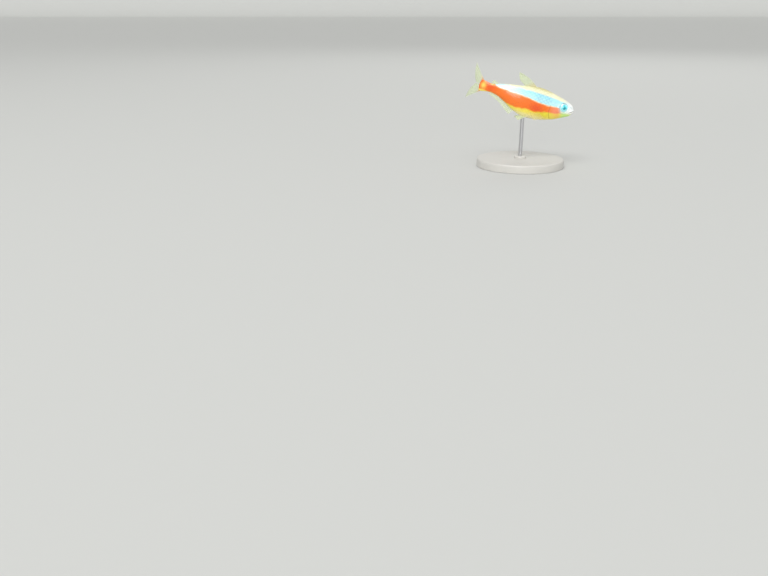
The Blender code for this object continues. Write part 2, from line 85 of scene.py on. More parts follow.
def mix(low: Array, high: Array, share: Array) -> Array:
    """A value between low and high: low plus share of their difference."""
    return low + (high - low) * share


def blend(under: Paint, over: Paint, mask: Array) -> Array:
    """Colours under, covered by over where mask is 1."""
    return mix(tint(under), tint(over), mask[..., None])


def coats(under: Paint, *layers: tuple[Paint, Array]) -> Array:
    """Coats of paint, one over the other.

    Args:
        under: The first colour.
        *layers: Each further coat's colour, and its mask, which is 1 where it covers.

    Returns:
        The colours that show.
    """
    for over, mask in layers:
        under = blend(under, over, mask)
    return under


def ease(low: float, high: float, value: Array) -> Array:
    """0 below low and 1 above high, with a smooth cubic between (3t squared less 2t cubed)."""
    share = np.clip((value - low) / (high - low), 0, 1)
    return share * share * (3 - 2 * share)


def bell(value: Array, width: float) -> Array:
    """A bell that is 1 at 0 and falls off as e to the minus (value over width) squared."""
    return np.exp(-((value / width) ** 2))


def wobble(value: Array, seed: float) -> Array:
    """A smooth irregular wave between about -1 and 1: three sines whose rates have no common step."""
    finer = 0.6 * np.sin(2.3 * value + 1.7 * seed) + 0.4 * np.sin(4.9 * value + seed)
    return (np.sin(value + seed) + finer) / 2


def run_of(points: Array) -> Array:
    """How far each point of a line lies along it: the lengths of its steps, added up."""
    return np.concatenate([[0], np.cumsum(np.linalg.norm(np.diff(points, axis=0), axis=1))])


# ---------------------------------------------------------------- meshes


def add_object(name: str, data: bpy.types.ID) -> Piece:
    """Puts data into the scene.

    Args:
        name: Name of the object.
        data: Its mesh, light or camera.

    Returns:
        The object.
    """
    made = bpy.data.objects.new(name, data)
    bpy.context.scene.collection.objects.link(made)
    return made


def make_mesh(name: str, points: Array, quads: Array, corners: Array, values: dict[str, Array]) -> Piece:
    """Puts points and faces into a mesh, closes its poles and turns its faces outwards.

    Args:
        name: Name of the piece.
        points: Points, on a grid or one row each.
        quads: Four point numbers for each face.
        corners: UV places, four for each face.
        values: Number or colour of each point, by attribute name.

    Returns:
        The piece, in the scene.
    """
    mesh = bpy.data.meshes.new(name)
    points = points.reshape(-1, 3)
    mesh.from_pydata(points, [], quads)
    mesh.uv_layers.new(name=MAP).data.foreach_set("uv", corners.astype(np.float32).ravel())
    for title, value in values.items():
        colour = value.size > len(points)
        attribute = mesh.attributes.new(title, "FLOAT_COLOR" if colour else "FLOAT", "POINT")
        if colour:
            value = np.concatenate([value.reshape(-1, 3), np.ones((len(points), 1))], 1)
        attribute.data.foreach_set("color" if colour else "value", value.astype(np.float32).ravel())
    shape = bmesh.new()
    shape.from_mesh(mesh)
    bmesh.ops.remove_doubles(shape, verts=shape.verts, dist=MERGE)
    bmesh.ops.recalc_face_normals(shape, faces=shape.faces)
    shape.to_mesh(mesh)
    shape.free()
    mesh.shade_smooth()
    mesh.set_sharp_from_angle(angle=SHARP)
    return add_object(name, mesh)


def grid_quads(rows: int, columns: int, wrap: bool = False) -> Array:
    """Faces of a grid of points.

    Args:
        rows: Rows of points.
        columns: Points in a row.
        wrap: Whether the last column joins the first.

    Returns:
        Four point numbers for each face.
    """
    across = columns if wrap else columns - 1
    row, column = np.meshgrid(np.arange(rows - 1), np.arange(across), indexing="ij")
    ahead = (column + 1) % columns
    faces = [row * columns + column, row * columns + ahead]
    faces += [(row + 1) * columns + ahead, (row + 1) * columns + column]
    return np.stack(faces, -1).reshape(-1, 4)


def round_map(share: Array, quads: Array, columns: int) -> Array:
    """UV places on a grid that closes on itself.

    Args:
        share: Place of each row from 0 to 1.
        quads: Four point numbers for each face.
        columns: Points in a row.

    Returns:
        The row's place and the column's share, which is 1 where the last column meets the first.
    """
    column = quads % columns
    column = np.where((column == 0) & (np.arange(4) % 3 > 0), columns, column)
    return np.stack([share[quads // columns], column / columns], -1)


def lens_quads(top: int, bottom: int, columns: int) -> Array:
    """Faces of a closed lens of two grids whose end columns are points.

    Args:
        top: Rows of the upper grid, whose points come first.
        bottom: Rows of the lower grid.
        columns: Points in a row.

    Returns:
        Four point numbers for each face.
    """
    upper = grid_quads(top, columns)
    lower = grid_quads(bottom, columns)[:, ::-1] + top * columns
    number = np.arange((top + bottom) * columns).reshape(-1, columns)
    front = np.stack([number[0, 1:], number[0, :-1], number[top, :-1], number[top, 1:]], -1)
    rear = np.stack([number[top - 1, :-1], number[top - 1, 1:], number[-1, 1:], number[-1, :-1]], -1)
    return np.concatenate([upper, lower, front, rear])


def shell_quads(rows: int, columns: int) -> Array:
    """Faces of a closed shell of two like grids, joined round the rim.

    Args:
        rows: Rows of each grid.
        columns: Points in a row.

    Returns:
        Four point numbers for each face.
    """
    upper = grid_quads(rows, columns)
    lower = upper[:, ::-1] + rows * columns
    number = np.arange(rows * columns).reshape(rows, columns)
    rim = np.concatenate([number[0, :-1], number[:-1, -1], number[-1, :0:-1], number[:0:-1, 0]])
    ahead = np.roll(rim, -1)
    edge = np.stack([ahead, rim, rim + rows * columns, ahead + rows * columns], -1)
    return np.concatenate([upper, lower, edge])


# ---------------------------------------------------------------- the body's form


class Spots(NamedTuple):
    """Places on the fish's side view: along and z in metres, and a and b, the same in standard lengths."""

    along: Array
    z: Array
    a: Array
    b: Array


@dataclass(frozen=True)
class BodyForm:
    """The body as a loft of the stations' sections, blunt at the snout, on an axis that bends to the left."""

    length: float = 0.0350
    nose_down: float = math.radians(15.2)
    rod_along: float = 0.545
    rod_height: float = 15.5 * MM
    base_height: float = 3.0 * MM
    bend_start: float = 0.550
    bend_radius: float = 0.800
    rounding: float = 0.045
    widest_share: float = 0.35
    flank_power: float = 0.92
    flesh_end: float = 0.985  # where the flesh starts to thin out over the tail fin's rays
    flesh_tip: float = 1.040
    inset: float = 0.06 * MM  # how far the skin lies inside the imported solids
    stations: tuple[tuple[float, float, float, float], ...] = (  # along, back, belly and half the width
        (0.00, 0.046, -0.048, 0.030),
        (0.05, 0.068, -0.068, 0.044),
        (0.10, 0.087, -0.094, 0.056),
        (0.20, 0.111, -0.138, 0.069),
        (0.30, 0.131, -0.166, 0.0745),
        (0.42, 0.141, -0.183, 0.075),
        (0.52, 0.126, -0.182, 0.068),
        (0.62, 0.106, -0.148, 0.057),
        (0.72, 0.090, -0.096, 0.044),
        (0.80, 0.073, -0.060, 0.033),
        (0.90, 0.046, -0.044, 0.019),
        (1.00, 0.055, -0.058, 0.012),
    )
    row_places: tuple[float, ...] = (0.0, 0.010, 0.300, 1.040)
    row_shares: tuple[float, ...] = (0.0, 0.050, 0.740, 1.000)
    flank_crowding: float = 0.30
    tail_curve: float = 0.016  # how far the flesh's end draws in at the back and belly

    def size(self, share: float) -> float:
        """A share of the standard length, in metres."""
        return share * self.length

    def spots(self, along: Array, z: Array) -> Spots:
        """Places on the side view from their metres."""
        return Spots(along, z, along / self.length, z / self.length)

    def through(self, along: Array, column: int) -> Array:
        """A cubic through one column of the stations, each slope taken from the station's neighbours.

        Args:
            along: Distances behind the snout, within the stations.
            column: The column of the stations.

        Returns:
            The column's value there, in metres.
        """
        table = np.array(self.stations) * self.length
        x, y = table[:, 0], table[:, column]
        slope = np.gradient(y, x)
        i = np.clip(np.searchsorted(x, along) - 1, 0, len(x) - 2)
        span = x[i + 1] - x[i]
        t = (along - x[i]) / span
        t2, t3 = t * t, t * t * t
        ends = (2 * t3 - 3 * t2 + 1) * y[i] + (3 * t2 - 2 * t3) * y[i + 1]
        return ends + (t3 - 2 * t2 + t) * span * slope[i] + (t3 - t2) * span * slope[i + 1]

    def along_at(self, share: Array) -> Array:
        """Distance behind the snout of the skin's rows: a square at the snout, then two straight pieces.

        Args:
            share: Shares of the rows from 0 to 1.

        Returns:
            Distances in metres.
        """
        nose = self.row_places[1] * (share / self.row_shares[1]) ** 2
        rest = np.interp(share, self.row_shares, self.row_places)
        return self.length * np.where(share < self.row_shares[1], nose, rest)

    def turn_at(self, share: Array) -> Array:
        """Turn at a share of the skin's columns: 2 pi share, plus a sine that crowds them on the flanks."""
        return 2 * np.pi * share + self.flank_crowding / 2 * np.sin(4 * np.pi * share)

    def unwrap(self, along: Array, turn: Array) -> Array:
        """The skin's own map, with its rows and columns evenly spaced.

        Args:
            along: Distances behind the snout.
            turn: Turns round the axis from the back.

        Returns:
            The share of the skin's rows and of its columns.
        """
        table = np.linspace(0, 1, 721)
        rows = np.interp(along / self.length, self.row_places, self.row_shares)
        return np.stack([rows, np.interp(turn % (2 * np.pi), self.turn_at(table), table)], -1)

    def section(self, along: Array) -> tuple[Array, Array, Array, Array]:
        """The body's cross sections, drawn in by a quarter circle at the snout and one at the tail.

        Args:
            along: Distances behind the snout.

        Returns:
            Height of the back, the belly and the widest level, and half the width.
        """
        near = 1 - np.clip(along / self.size(self.rounding), 0, 1)
        blunt = np.sqrt(1 - near * near)
        held = np.clip(along, 0, self.length)
        top, bottom, half = (blunt * self.through(held, column) for column in (1, 2, 3))
        past = np.clip((along / self.length - self.flesh_end) / (self.flesh_tip - self.flesh_end), 0, 1)
        return top, bottom, self.widest_share * (top + bottom), half * np.sqrt(1 - past * past)

    def bare(self, along: Array, turn: Array) -> Array:
        """The smooth body: y is half the width times a power of the turn's sine, and z follows its cosine.

        Args:
            along: Distances behind the snout.
            turn: Turns round the axis from the back.

        Returns:
            Points as (along, y, z).
        """
        top, bottom, level, half = self.section(along)
        sine, cosine = np.sin(turn), np.cos(turn)
        y = half * np.sign(sine) * np.abs(sine) ** self.flank_power
        z = level + np.where(cosine > 0, top - level, level - bottom) * cosine
        drawn = self.size(self.tail_curve) * ease(0.96, self.flesh_tip, along / self.length) * cosine ** 2
        return np.stack([along - drawn + 0 * y, y, z], -1)

    def facing(self, along: Array, turn: Array) -> Array:
        """The way out of the smooth body, from its slopes along and around.

        Args:
            along: Distances behind the snout.
            turn: Turns round the axis from the back.

        Returns:
            Unit vectors.
        """
        step, twist = 1e-5, 1e-3
        around = self.bare(along, turn + twist) - self.bare(along, turn - twist)
        ahead = self.bare(along + step, turn) - self.bare(np.maximum(along - step, 0), turn)
        out = np.cross(ahead, around)
        return out / np.maximum(np.linalg.norm(out, axis=-1, keepdims=True), 1e-12)

    def skin(self, along: Array, turn: Array, lift: Array) -> Array:
        """The smooth body moved out by lift."""
        along = np.asarray(along, float) + 0 * turn
        return self.bare(along, turn) + (lift - self.inset)[..., None] * self.facing(along, turn)

    def flank(self, along: Array, z: Array) -> Array:
        """The smooth body's half width at a height, the same curve as in bare.

        Args:
            along: Distances behind the snout.
            z: Heights.

        Returns:
            Distances from the middle plane.
        """
        top, bottom, level, half = self.section(np.asarray(along, float))
        cosine = np.where(z > level, (z - level) / (top - level), (z - level) / (level - bottom))
        return half * (1 - np.clip(cosine, -1, 1) ** 2) ** (self.flank_power / 2)

    def placed(self, points: Array) -> Array:
        """Bends the tail round an arc, tips the nose down and sets the fish over its rod.

        Args:
            points: Points as (along, y, z).

        Returns:
            Points in the part's own frame.
        """
        along, y, z = np.moveaxis(np.asarray(points, float), -1, 0)
        start, radius = self.size(self.bend_start), self.size(self.bend_radius)
        swing = np.maximum(along - start, 0) / radius
        x = self.size(self.rod_along) - np.minimum(along, start) - radius * np.sin(swing) + y * np.sin(swing)
        y = radius * (1 - np.cos(swing)) + y * np.cos(swing)
        belly = float(self.section(np.array(self.size(self.rod_along)))[1])
        height = self.base_height + self.rod_height - belly / math.cos(self.nose_down)
        down, level = math.sin(self.nose_down), math.cos(self.nose_down)
        return np.stack([x * level + z * down, y, height - x * down + z * level], -1)


@dataclass(frozen=True)
class HeadForm:
    """The head's features as heights over the smooth body, by their places in standard lengths."""

    body: BodyForm
    mouth_tip: float = 0.004
    corner: tuple[float, float] = (0.058, -0.030)
    lip_off: float = 0.36 * MM
    lip_width: float = 0.23 * MM
    lip_lift: float = 0.15 * MM
    slit_width: float = 0.075 * MM
    slit_depth: float = 0.24 * MM
    eye: tuple[float, float] = (0.120, 0.012)
    eye_radius: float = 0.046
    socket_depth: float = 0.55 * MM
    rim_lift: float = 0.09 * MM
    nostrils: tuple[Point, ...] = ((0.036, 0.030, 0.16 * MM), (0.046, 0.034, 0.21 * MM))
    nostril_depth: float = 0.26 * MM
    nostril_rim: float = 0.07 * MM
    gill: tuple[float, float] = (0.203, -0.020)
    gill_reach: Point = (0.064, 0.064, 0.118)  # rear, up and down
    gill_lift: float = 0.15 * MM
    cheek: tuple[float, float] = (0.118, -0.012)
    cheek_reach: tuple[float, float] = (0.072, 0.098)
    fin_pad: tuple[float, float] = (0.290, -0.108)
    jaw_plate: tuple[complex, complex] = (0.041 - 0.007j, 0.077 - 0.047j)  # its two ends, as a + jb
    plate_width: float = 0.30 * MM
    cheek_seams: tuple[float, ...] = (-112.0, -68.0, -22.0, 22.0)  # degrees round the eye from its rear
    fan: complex = 0.170 + 0.034j  # where the gill cover's fine ridges meet, as a + jb
    fan_ridges: int = 34
    fan_lift: float = 0.006 * MM
    throat_folds: tuple[float, ...] = (0.34 * MM, 0.66 * MM)  # above the lower outline
    fold_depth: float = 0.030 * MM
    crease: float = 0.07 * MM  # how wide a groove between two bones is

    def mouth(self, at: Spots) -> tuple[Array, Array]:
        """Height over the mouth's straight line, and a share that is 1 in front of its corner."""
        share = at.a / self.corner[0]
        return at.z - self.body.size(mix(self.mouth_tip, self.corner[1], share)), 1 - ease(0.78, 1.08, share)

    def from_eye(self, at: Spots) -> Array:
        """The way from the eye's centre in eye radii, as a complex number: rearwards plus j upwards."""
        return (at.a - self.eye[0] + 1j * (at.b - self.eye[1])) / self.eye_radius

    def from_nostrils(self, at: Spots) -> list[tuple[Array, float]]:
        """Distance from each nostril's centre, and its radius."""
        return [(self.body.size(np.hypot(at.a - a, at.b - b)), radius) for a, b, radius in self.nostrils]

    def behind_gill(self, at: Spots) -> tuple[Array, Array]:
        """The gill cover's rear edge, a half ellipse.

        Args:
            at: Places on the side view.

        Returns:
            Distance outside the edge, and a share that fades to 0 at its ends.
        """
        rear, up, down = self.gill_reach
        a, b = (at.a - self.gill[0]) / rear, at.b - self.gill[1]
        ring = np.hypot(np.maximum(a, 0), b / np.where(b > 0, up, down))
        return (ring - 1) * self.body.size(rear), ease(0.12, 0.65, a)

    def gill_edge(self, at: Spots) -> tuple[Array, Array]:
        """The same edge by height.

        Args:
            at: Places on the side view.

        Returns:
            How far along the edge lies at that height, and a share that fades to 0 at its ends.
        """
        rear, up, down = self.gill_reach
        b = at.b - self.gill[1]
        bulge = np.sqrt(np.clip(1 - (b / np.where(b > 0, up, down)) ** 2, 0, 1))
        return self.body.size(self.gill[0] + rear * bulge), ease(0.02, 0.30, bulge)

    def hollows(self, at: Spots) -> Array:
        """Painted shade for the mouth's slit, the nostrils and the gill opening.

        Args:
            at: Places on the side view.

        Returns:
            1 deep in a hollow, and 0 on open skin.
        """
        off, inside = self.mouth(at)
        # painted shade: the mouth's slit, the nostrils and the gill opening are darkened
        dark = 0.9 * inside * bell(off, 1.3 * self.slit_width)
        for away, radius in self.from_nostrils(at):
            dark = np.maximum(dark, 0.7 * bell(away, 0.75 * radius))
        behind, share = self.behind_gill(at)
        return np.maximum(dark, 0.52 * share * bell(behind - 0.04 * MM, 0.10 * MM))

    def snout(self, at: Spots) -> Array:
        """A bell for each lip with the slit between them, and a pit with a rim for each nostril.

        Args:
            at: Places on the side view.

        Returns:
            Height over the smooth body.
        """
        off, inside = self.mouth(at)
        lips = bell(off - self.lip_off, self.lip_width) + bell(off + self.lip_off, self.lip_width)
        height = inside * (self.lip_lift * lips - self.slit_depth * bell(off, self.slit_width))
        for away, radius in self.from_nostrils(at):
            height = height - self.nostril_depth * bell(away, 0.7 * radius)
            height = height + self.nostril_rim * bell(away - 1.15 * radius, 0.4 * radius)
        return height

    def jaw(self, at: Spots) -> Array:
        """A bar round the line of the jaw's plate, a groove round it, and the folds of the throat.

        Args:
            at: Places on the side view.

        Returns:
            Height over the smooth body.
        """
        spot, (start, end) = at.a + 1j * at.b, self.jaw_plate
        share = np.clip(((spot - start) * np.conj(end - start)).real / abs(end - start) ** 2, 0, 1)
        off = self.body.size(np.abs(spot - mix(start, end, share)))
        height = 0.06 * MM * ease(1.1, 0.7, off / self.plate_width)
        height = height - 0.03 * MM * bell(off - 1.25 * self.plate_width, self.crease)
        over = at.z - self.body.section(at.along)[1]
        throat = self.fold_depth * ease(0.09, 0.12, at.a) * ease(0.20, 0.17, at.a)
        return height - throat * sum(bell(over - fold, self.crease) for fold in self.throat_folds)

    def cheek_bones(self, at: Spots) -> Array:
        """The eye's socket and rim, seams that run out from it, a groove round them and the cheek's edge.

        Args:
            at: Places on the side view.

        Returns:
            Height over the smooth body.
        """
        way = self.from_eye(at)
        eye = np.abs(way)
        height = mix(self.rim_lift * bell(eye - 1.20, 0.16), -self.socket_depth, 1 - ease(0.70, 1.10, eye))
        ring = ease(1.22, 1.34, eye) * ease(1.66, 1.58, eye)
        for seam in np.radians(self.cheek_seams):
            turned = way * np.exp(-1j * seam)
            aside = self.body.size(self.eye_radius) * turned.imag
            height = height - 0.028 * MM * ring * bell(aside, 0.055 * MM) * (turned.real > 0)
        rear_low = ease(0.90, 0.45, way.imag) * ease(-1.3, -0.5, way.real)
        height = height - 0.040 * MM * rear_low * bell(eye - 1.62, 0.045)
        a, b = (at.a - self.cheek[0]) / self.cheek_reach[0], (at.b - self.cheek[1]) / self.cheek_reach[1]
        edge = (np.hypot(a, b) - 1) * self.body.size(self.cheek_reach[0])
        step = 0.04 * MM * bell(edge + 0.20 * MM, 0.15 * MM) - 0.06 * MM * bell(edge, self.crease)
        return height + ease(-0.15, 0.25, a) * ease(0.45, 0.15, b) * step

    def gill_cover(self, at: Spots) -> Array:
        """The cover rises to its rear edge and drops in a step, with a groove behind it, a seam and a fan of
        ridges on it, a sine of the angle, and the swelling at the pectoral fin's root.

        Args:
            at: Places on the side view.

        Returns:
            Height over the smooth body.
        """
        behind, share = self.behind_gill(at)
        rise = np.clip(1 + behind / self.body.size(0.050), 0, 1) ** 2
        soft = mix(0.30, 0.10, ease(0.1, 0.9, share)) * MM
        height = self.gill_lift * rise * ease(1, -1, behind / soft)
        height = height - 0.035 * MM * bell(behind - 0.08 * MM, 0.10 * MM)
        height = height - 0.035 * MM * bell(behind + 0.60 * MM, self.crease) * ease(-0.030, -0.060, at.b)
        spoke = at.a + 1j * at.b - self.fan
        fan = np.sin(self.fan_ridges * np.angle(spoke)) * ease(0.0, 0.05, np.abs(spoke))
        height = height + self.fan_lift * fan * ease(-0.05 * MM, -0.35 * MM, behind)
        pad = self.body.size(np.hypot(at.a - self.fin_pad[0], at.b - self.fin_pad[1]))
        return share * height + 0.14 * MM * bell(pad, 0.75 * MM)

    def relief(self, at: Spots) -> Array:
        """Height of all the features together, which don't reach into each other."""
        return self.snout(at) + self.jaw(at) + self.cheek_bones(at) + self.gill_cover(at)


@dataclass(frozen=True)
class Markings:
    """The fish's colours on its side view, for skin and scales alike. Places are in standard lengths."""

    body: BodyForm
    head: HeadForm
    knots: tuple[float, ...] = (0.00, 0.13, 0.20, 0.30, 0.40, 0.50, 0.60, 0.70, 0.80, 0.88)
    stripe_top: tuple[float, ...] = (0.040, 0.060, 0.073, 0.080, 0.084, 0.085, 0.084, 0.079, 0.073, 0.048)
    stripe_low: tuple[float, ...] = (-0.006, -0.002, 0.003, -0.004, 0.002, 0.018, 0.026, 0.029, 0.034, 0.048)
    red_low: tuple[float, ...] = (
        -0.020, -0.047, -0.067, -0.074, -0.106, -0.095, -0.112, -0.098, -0.057, -0.040,
    )
    stripe_blue: Colour = (180, 242, 250)
    stripe_pale: Colour = (206, 238, 244)
    stripe_violet: Colour = (160, 200, 252)
    stripe_deep: Colour = (64, 150, 206)
    cream: Colour = (253, 251, 210)
    olive: Colour = (206, 197, 120)
    red: Colour = (255, 120, 2)
    deep_red: Colour = (240, 74, 10)
    rose: Colour = (250, 148, 110)
    yellow: Colour = (255, 235, 86)
    green_gold: Colour = (236, 220, 44)
    warm: Colour = (255, 196, 92)
    chin: Colour = (204, 244, 130)
    snow: Colour = (252, 254, 252)
    gold: Colour = (255, 238, 112)
    # dark: the scales' rear edges, and painted shade in the mouth, nostrils and gill opening
    ink: Colour = (34, 30, 24)

    def edges(self, at: Spots) -> list[Array]:
        """Heights of the stripe's top and bottom and of the red's bottom, each with a slight waver."""
        lines, waver = (self.stripe_top, self.stripe_low, self.red_low), 0.0022 * wobble(52 * at.a, 1.0)
        return [np.interp(at.a, self.knots, line) + waver for line in lines]

    def glow(self, at: Spots) -> Array:
        """The stripe's mask, which makes it metallic and paints a faint glow on it.

        Args:
            at: Places on the side view.

        Returns:
            1 in the stripe, and 0 elsewhere.
        """
        top, low, _ = self.edges(at)
        band = ease(-0.004, 0.006, at.b - low) * (1 - ease(-0.004, 0.010, at.b - top))
        return band * ease(0.015, 0.075, at.a) * (1 - ease(0.845, 0.885, at.a))

    def paint(self, at: Spots) -> Array:
        """Colour of the body: belly, then red, stripe, back, tail root and head over it.

        Args:
            at: Places on the side view.

        Returns:
            Linear colours.
        """
        (_, _, a, b), (top, low, under) = at, self.edges(at)
        red = coats(
            self.red,
            (self.deep_red, 0.75 * bell(a - 0.40, 0.07) * bell(b + 0.06, 0.05)),
            (self.rose, 0.8 * ease(0.30, 0.20, a)),
            (self.deep_red, 0.55 * ease(0.80, 0.90, a) * bell(b - 0.01, 0.05)),
        )
        across = np.clip((b - low) / np.maximum(top - low, 1e-9), 0, 1)
        stripe = coats(
            self.stripe_blue,
            (self.stripe_pale, 0.75 * ease(0.45, 0.78, a)),
            (self.stripe_pale, 0.55 * bell(across - 0.35, 0.22)),
            (self.stripe_violet, 0.30 * ease(0.84, 1.0, across) * ease(0.75, 0.60, a)),
        )
        back = blend(self.cream, self.olive, ease(0.30, 1.10, (b - top) / np.maximum(0.142 - top, 0.02)))
        body = coats(
            self.yellow,
            (self.green_gold, bell(a - 0.33, 0.13) * ease(-0.155, -0.10, b)),
            (self.snow, 0.45 * ease(-0.12, -0.175, b)),
            (self.warm, 0.75 * bell(a - 0.17, 0.055) * ease(-0.135, -0.085, b)),
            (red, ease(-0.010, 0.008, b - under) * ease(0.115, 0.150, a)),
            (self.cream, 0.85 * bell(b - low + 0.003, 0.006) * ease(0.16, 0.24, a) * ease(0.88, 0.80, a)),
            (stripe, ease(-0.003, 0.005, b - low) * ease(0.905, 0.865, a + 0.25 * (b - 0.05))),
            (back, ease(-0.006, 0.008, b - top) * ease(0.90, 0.84, a)),
            (self.gold, 0.9 * bell(a - 0.895, 0.022) * ease(0.030, 0.044, b)),
            (self.gold, 0.9 * bell(a - 0.987, 0.026) * bell(b - 0.006, 0.036)),
            (self.gold, 0.7 * ease(0.80, 0.90, a) * ease(-0.036, -0.052, b)),
        )
        front, crown = ease(0.17, 0.08, a), mix(tint(self.olive), tint(self.snow), 0.45)
        return coats(
            body,
            (self.snow, 0.92 * front * ease(-0.075, -0.020, b)),
            (self.stripe_blue, 0.40 * front * bell(b - 0.030, 0.024) * ease(0.03, 0.09, a)),
            (self.chin, ease(0.162, 0.090, a) * ease(-0.020, -0.060, b)),
            (crown, 0.55 * ease(0.30, 0.14, a) * ease(0.050, 0.095, b)),
            (self.stripe_blue, 0.30 * bell(np.abs(self.head.from_eye(at)) - 1.15, 0.22)),
        )

    def in_hollows(self, colour: Array, at: Spots) -> Array:
        """The skin's colour, with painted shade in the mouth, the nostrils and the gill opening."""
        # paints shade into the mouth, the nostrils and the gill opening
        return blend(colour, self.ink, 0.85 * self.head.hollows(at))


# ---------------------------------------------------------------- shaders


class Value:
    """A socket that carries a number. Arithmetic on it adds Math nodes."""

    def __init__(self, sheet: "ShaderSheet", socket: bpy.types.NodeSocket) -> None:
        """Keeps the sheet that the socket's node is on."""
        self.sheet, self.socket = sheet, socket

    def _math(self, operation: str, first: object, second: object) -> "Value":
        """A Math node on two numbers or sockets."""
        node = self.sheet.node("ShaderNodeMath", {"operation": operation}, {0: first, 1: second})
        return Value(self.sheet, node.outputs[0])

    def __add__(self, other: object) -> "Value":
        """The sum."""
        return self._math("ADD", self, other)

    def __mul__(self, other: object) -> "Value":
        """The product."""
        return self._math("MULTIPLY", self, other)

    def __sub__(self, other: object) -> "Value":
        """The difference."""
        return self._math("SUBTRACT", self, other)

    def __rsub__(self, other: object) -> "Value":
        """The difference from a number."""
        return self._math("SUBTRACT", other, self)

    def __pow__(self, other: object) -> "Value":
        """The power."""
        return self._math("POWER", self, other)

    __radd__ = __add__
    __rmul__ = __mul__

    def sine(self) -> "Value":
        """The sine."""
        return self._math("SINE", self, 0.0)

    def held(self) -> "Value":
        """The value held between 0 and 1."""
        return self._math("MINIMUM", self._math("MAXIMUM", self, 0.0), 1.0)


def shade(colour: Colour) -> tuple[float, float, float, float]:
    """A colour as a socket takes it."""
    return (*map(float, tint(colour)), 1.0)


class ShaderSheet:
    """A material's node tree around its Principled shader."""

    def __init__(self, name: str) -> None:
        """Makes the material.

        Args:
            name: Its name.
        """
        self.material = bpy.data.materials.new(name)
        self.material.use_nodes = True
        self.tree = self.material.node_tree
        self.shader = self.tree.nodes["Principled BSDF"]
        self.place = self.node("ShaderNodeTexCoord", {}, {}).outputs["Object"]

    def node(self, kind: str, settings: dict[str, object], sockets: dict[object, object]) -> bpy.types.Node:
        """Adds a node.

        Args:
            kind: Its type.
            settings: Its settings by name, which are set first.
            sockets: Values or links of its sockets, by name or number.

        Returns:
            The node.
        """
        made = self.tree.nodes.new(kind)
        for name, setting in settings.items():
            setattr(made, name, setting)
        for name, value in sockets.items():
            self.feed(made.inputs[name], value)
        return made

    def feed(self, target: bpy.types.NodeSocket, value: object) -> None:
        """Links a socket or sets its value.

        Args:
            target: The socket.
            value: A number, a colour, or the socket that feeds it.
        """
        if isinstance(value, Value):
            value = value.socket
        if isinstance(value, bpy.types.NodeSocket):
            self.tree.links.new(value, target)
        else:
            target.default_value = value

    def set(self, **sockets: object) -> None:
        """Sets the shader's sockets, named with underscores for spaces."""
        for name, value in sockets.items():
            self.feed(self.shader.inputs[name.replace("_", " ")], value)

    def attribute(self, name: str) -> Value:
        """A number that the mesh carries."""
        return Value(self, self.node("ShaderNodeAttribute", {"attribute_name": name}, {}).outputs["Fac"])

    def paint(self) -> bpy.types.NodeSocket:
        """The colour that the mesh carries."""
        return self.node("ShaderNodeAttribute", {"attribute_name": "paint"}, {}).outputs["Color"]

    def noise(self, size: float, detail: float = 3.0, stretch: Point = (1, 1, 1)) -> Value:
        """Noise from 0 to 1.

        Args:
            size: About how large its blotches are, in metres.
            detail: How many times finer noise is added.
            stretch: What the place is multiplied by on each axis.

        Returns:
            The noise.
        """
        moved = self.node("ShaderNodeMapping", {}, {"Vector": self.place, "Scale": stretch})
        sockets = {"Vector": moved.outputs[0], "Scale": 1 / size, "Detail": detail}
        return Value(self, self.node("ShaderNodeTexNoise", {}, sockets).outputs[0])

    def colour_mix(self, how: str, share: object, first: object, second: object) -> bpy.types.NodeSocket:
        """A Mix node on two colours."""
        settings = {"data_type": "RGBA", "blend_type": how}
        return self.node("ShaderNodeMix", settings, {0: share, 6: first, 7: second}).outputs[2]

    def grey(self, noise: Value) -> bpy.types.NodeSocket:
        """A grey from a noise, about 0.9 in the middle."""
        level = noise * 0.9 + 0.45
        return self.node("ShaderNodeCombineColor", {}, {0: level, 1: level, 2: level}).outputs[0]

    def mottled(self, share: object, colour: object, noise: Value) -> bpy.types.NodeSocket:
        """A colour that a noise makes darker or lighter by a share."""
        return self.colour_mix("MULTIPLY", share, colour, self.grey(noise))

    def pearl(self, glow: Value, strength: float) -> None:
        """Paints a faint glow: the mesh's colour given off as light where glow is 1."""
        self.set(Emission_Color=self.colour_mix("MIX", glow, shade(BLACK), self.paint()))
        self.set(Emission_Strength=strength)

    def bump(self, height: Value, depth: float, strength: float) -> None:
        """Feeds a height from 0 to 1, over depth in metres, to the shader's normal."""
        node = self.node("ShaderNodeBump", {}, {"Strength": strength, "Distance": depth, "Height": height})
        self.set(Normal=node.outputs[0])


@dataclass(frozen=True)
class SkinFinish:
    """Wet painted skin: colour from the markings with fine specks, a metallic stripe with a faint painted
    glow, and a clear coat.
    """

    name: str = "tetra_skin"
    speck: float = 0.16 * MM
    cloud: float = 1.6 * MM
    glow_strength: float = 0.12
    ridges: float = 0.0  # growth rings on each scale, none on bare skin
    depth: float = 0.012 * MM

    def make(self) -> Material:
        """Builds the material.

        Returns:
            The material.
        """
        sheet = ShaderSheet(self.name)
        glow = sheet.attribute("glow")
        specks, cloud = sheet.noise(self.speck, 4.0), sheet.noise(self.cloud)
        colour = sheet.mottled(0.30 * (1 - glow), sheet.paint(), specks)
        sheet.set(Base_Color=sheet.mottled(0.18, colour, cloud), Metallic=0.34 * glow)
        sheet.set(Roughness=0.26 + 0.22 * cloud, Specular_IOR_Level=0.5)
        sheet.set(Coat_Weight=0.55, Coat_Roughness=0.06)
        # painted glow: the stripe gives off a little light in its own colour
        sheet.pearl(glow, self.glow_strength)
        height = specks
        if self.ridges:
            back, aside = sheet.attribute("ring_back"), sheet.attribute("ring_aside")
            ring = (back * back + aside * aside) ** 0.5
            height = 0.35 * specks + (0.30 - 0.20 * glow) * (1 + (self.ridges * ring).sine())
        sheet.bump(height, self.depth, 0.6)
        return sheet.material


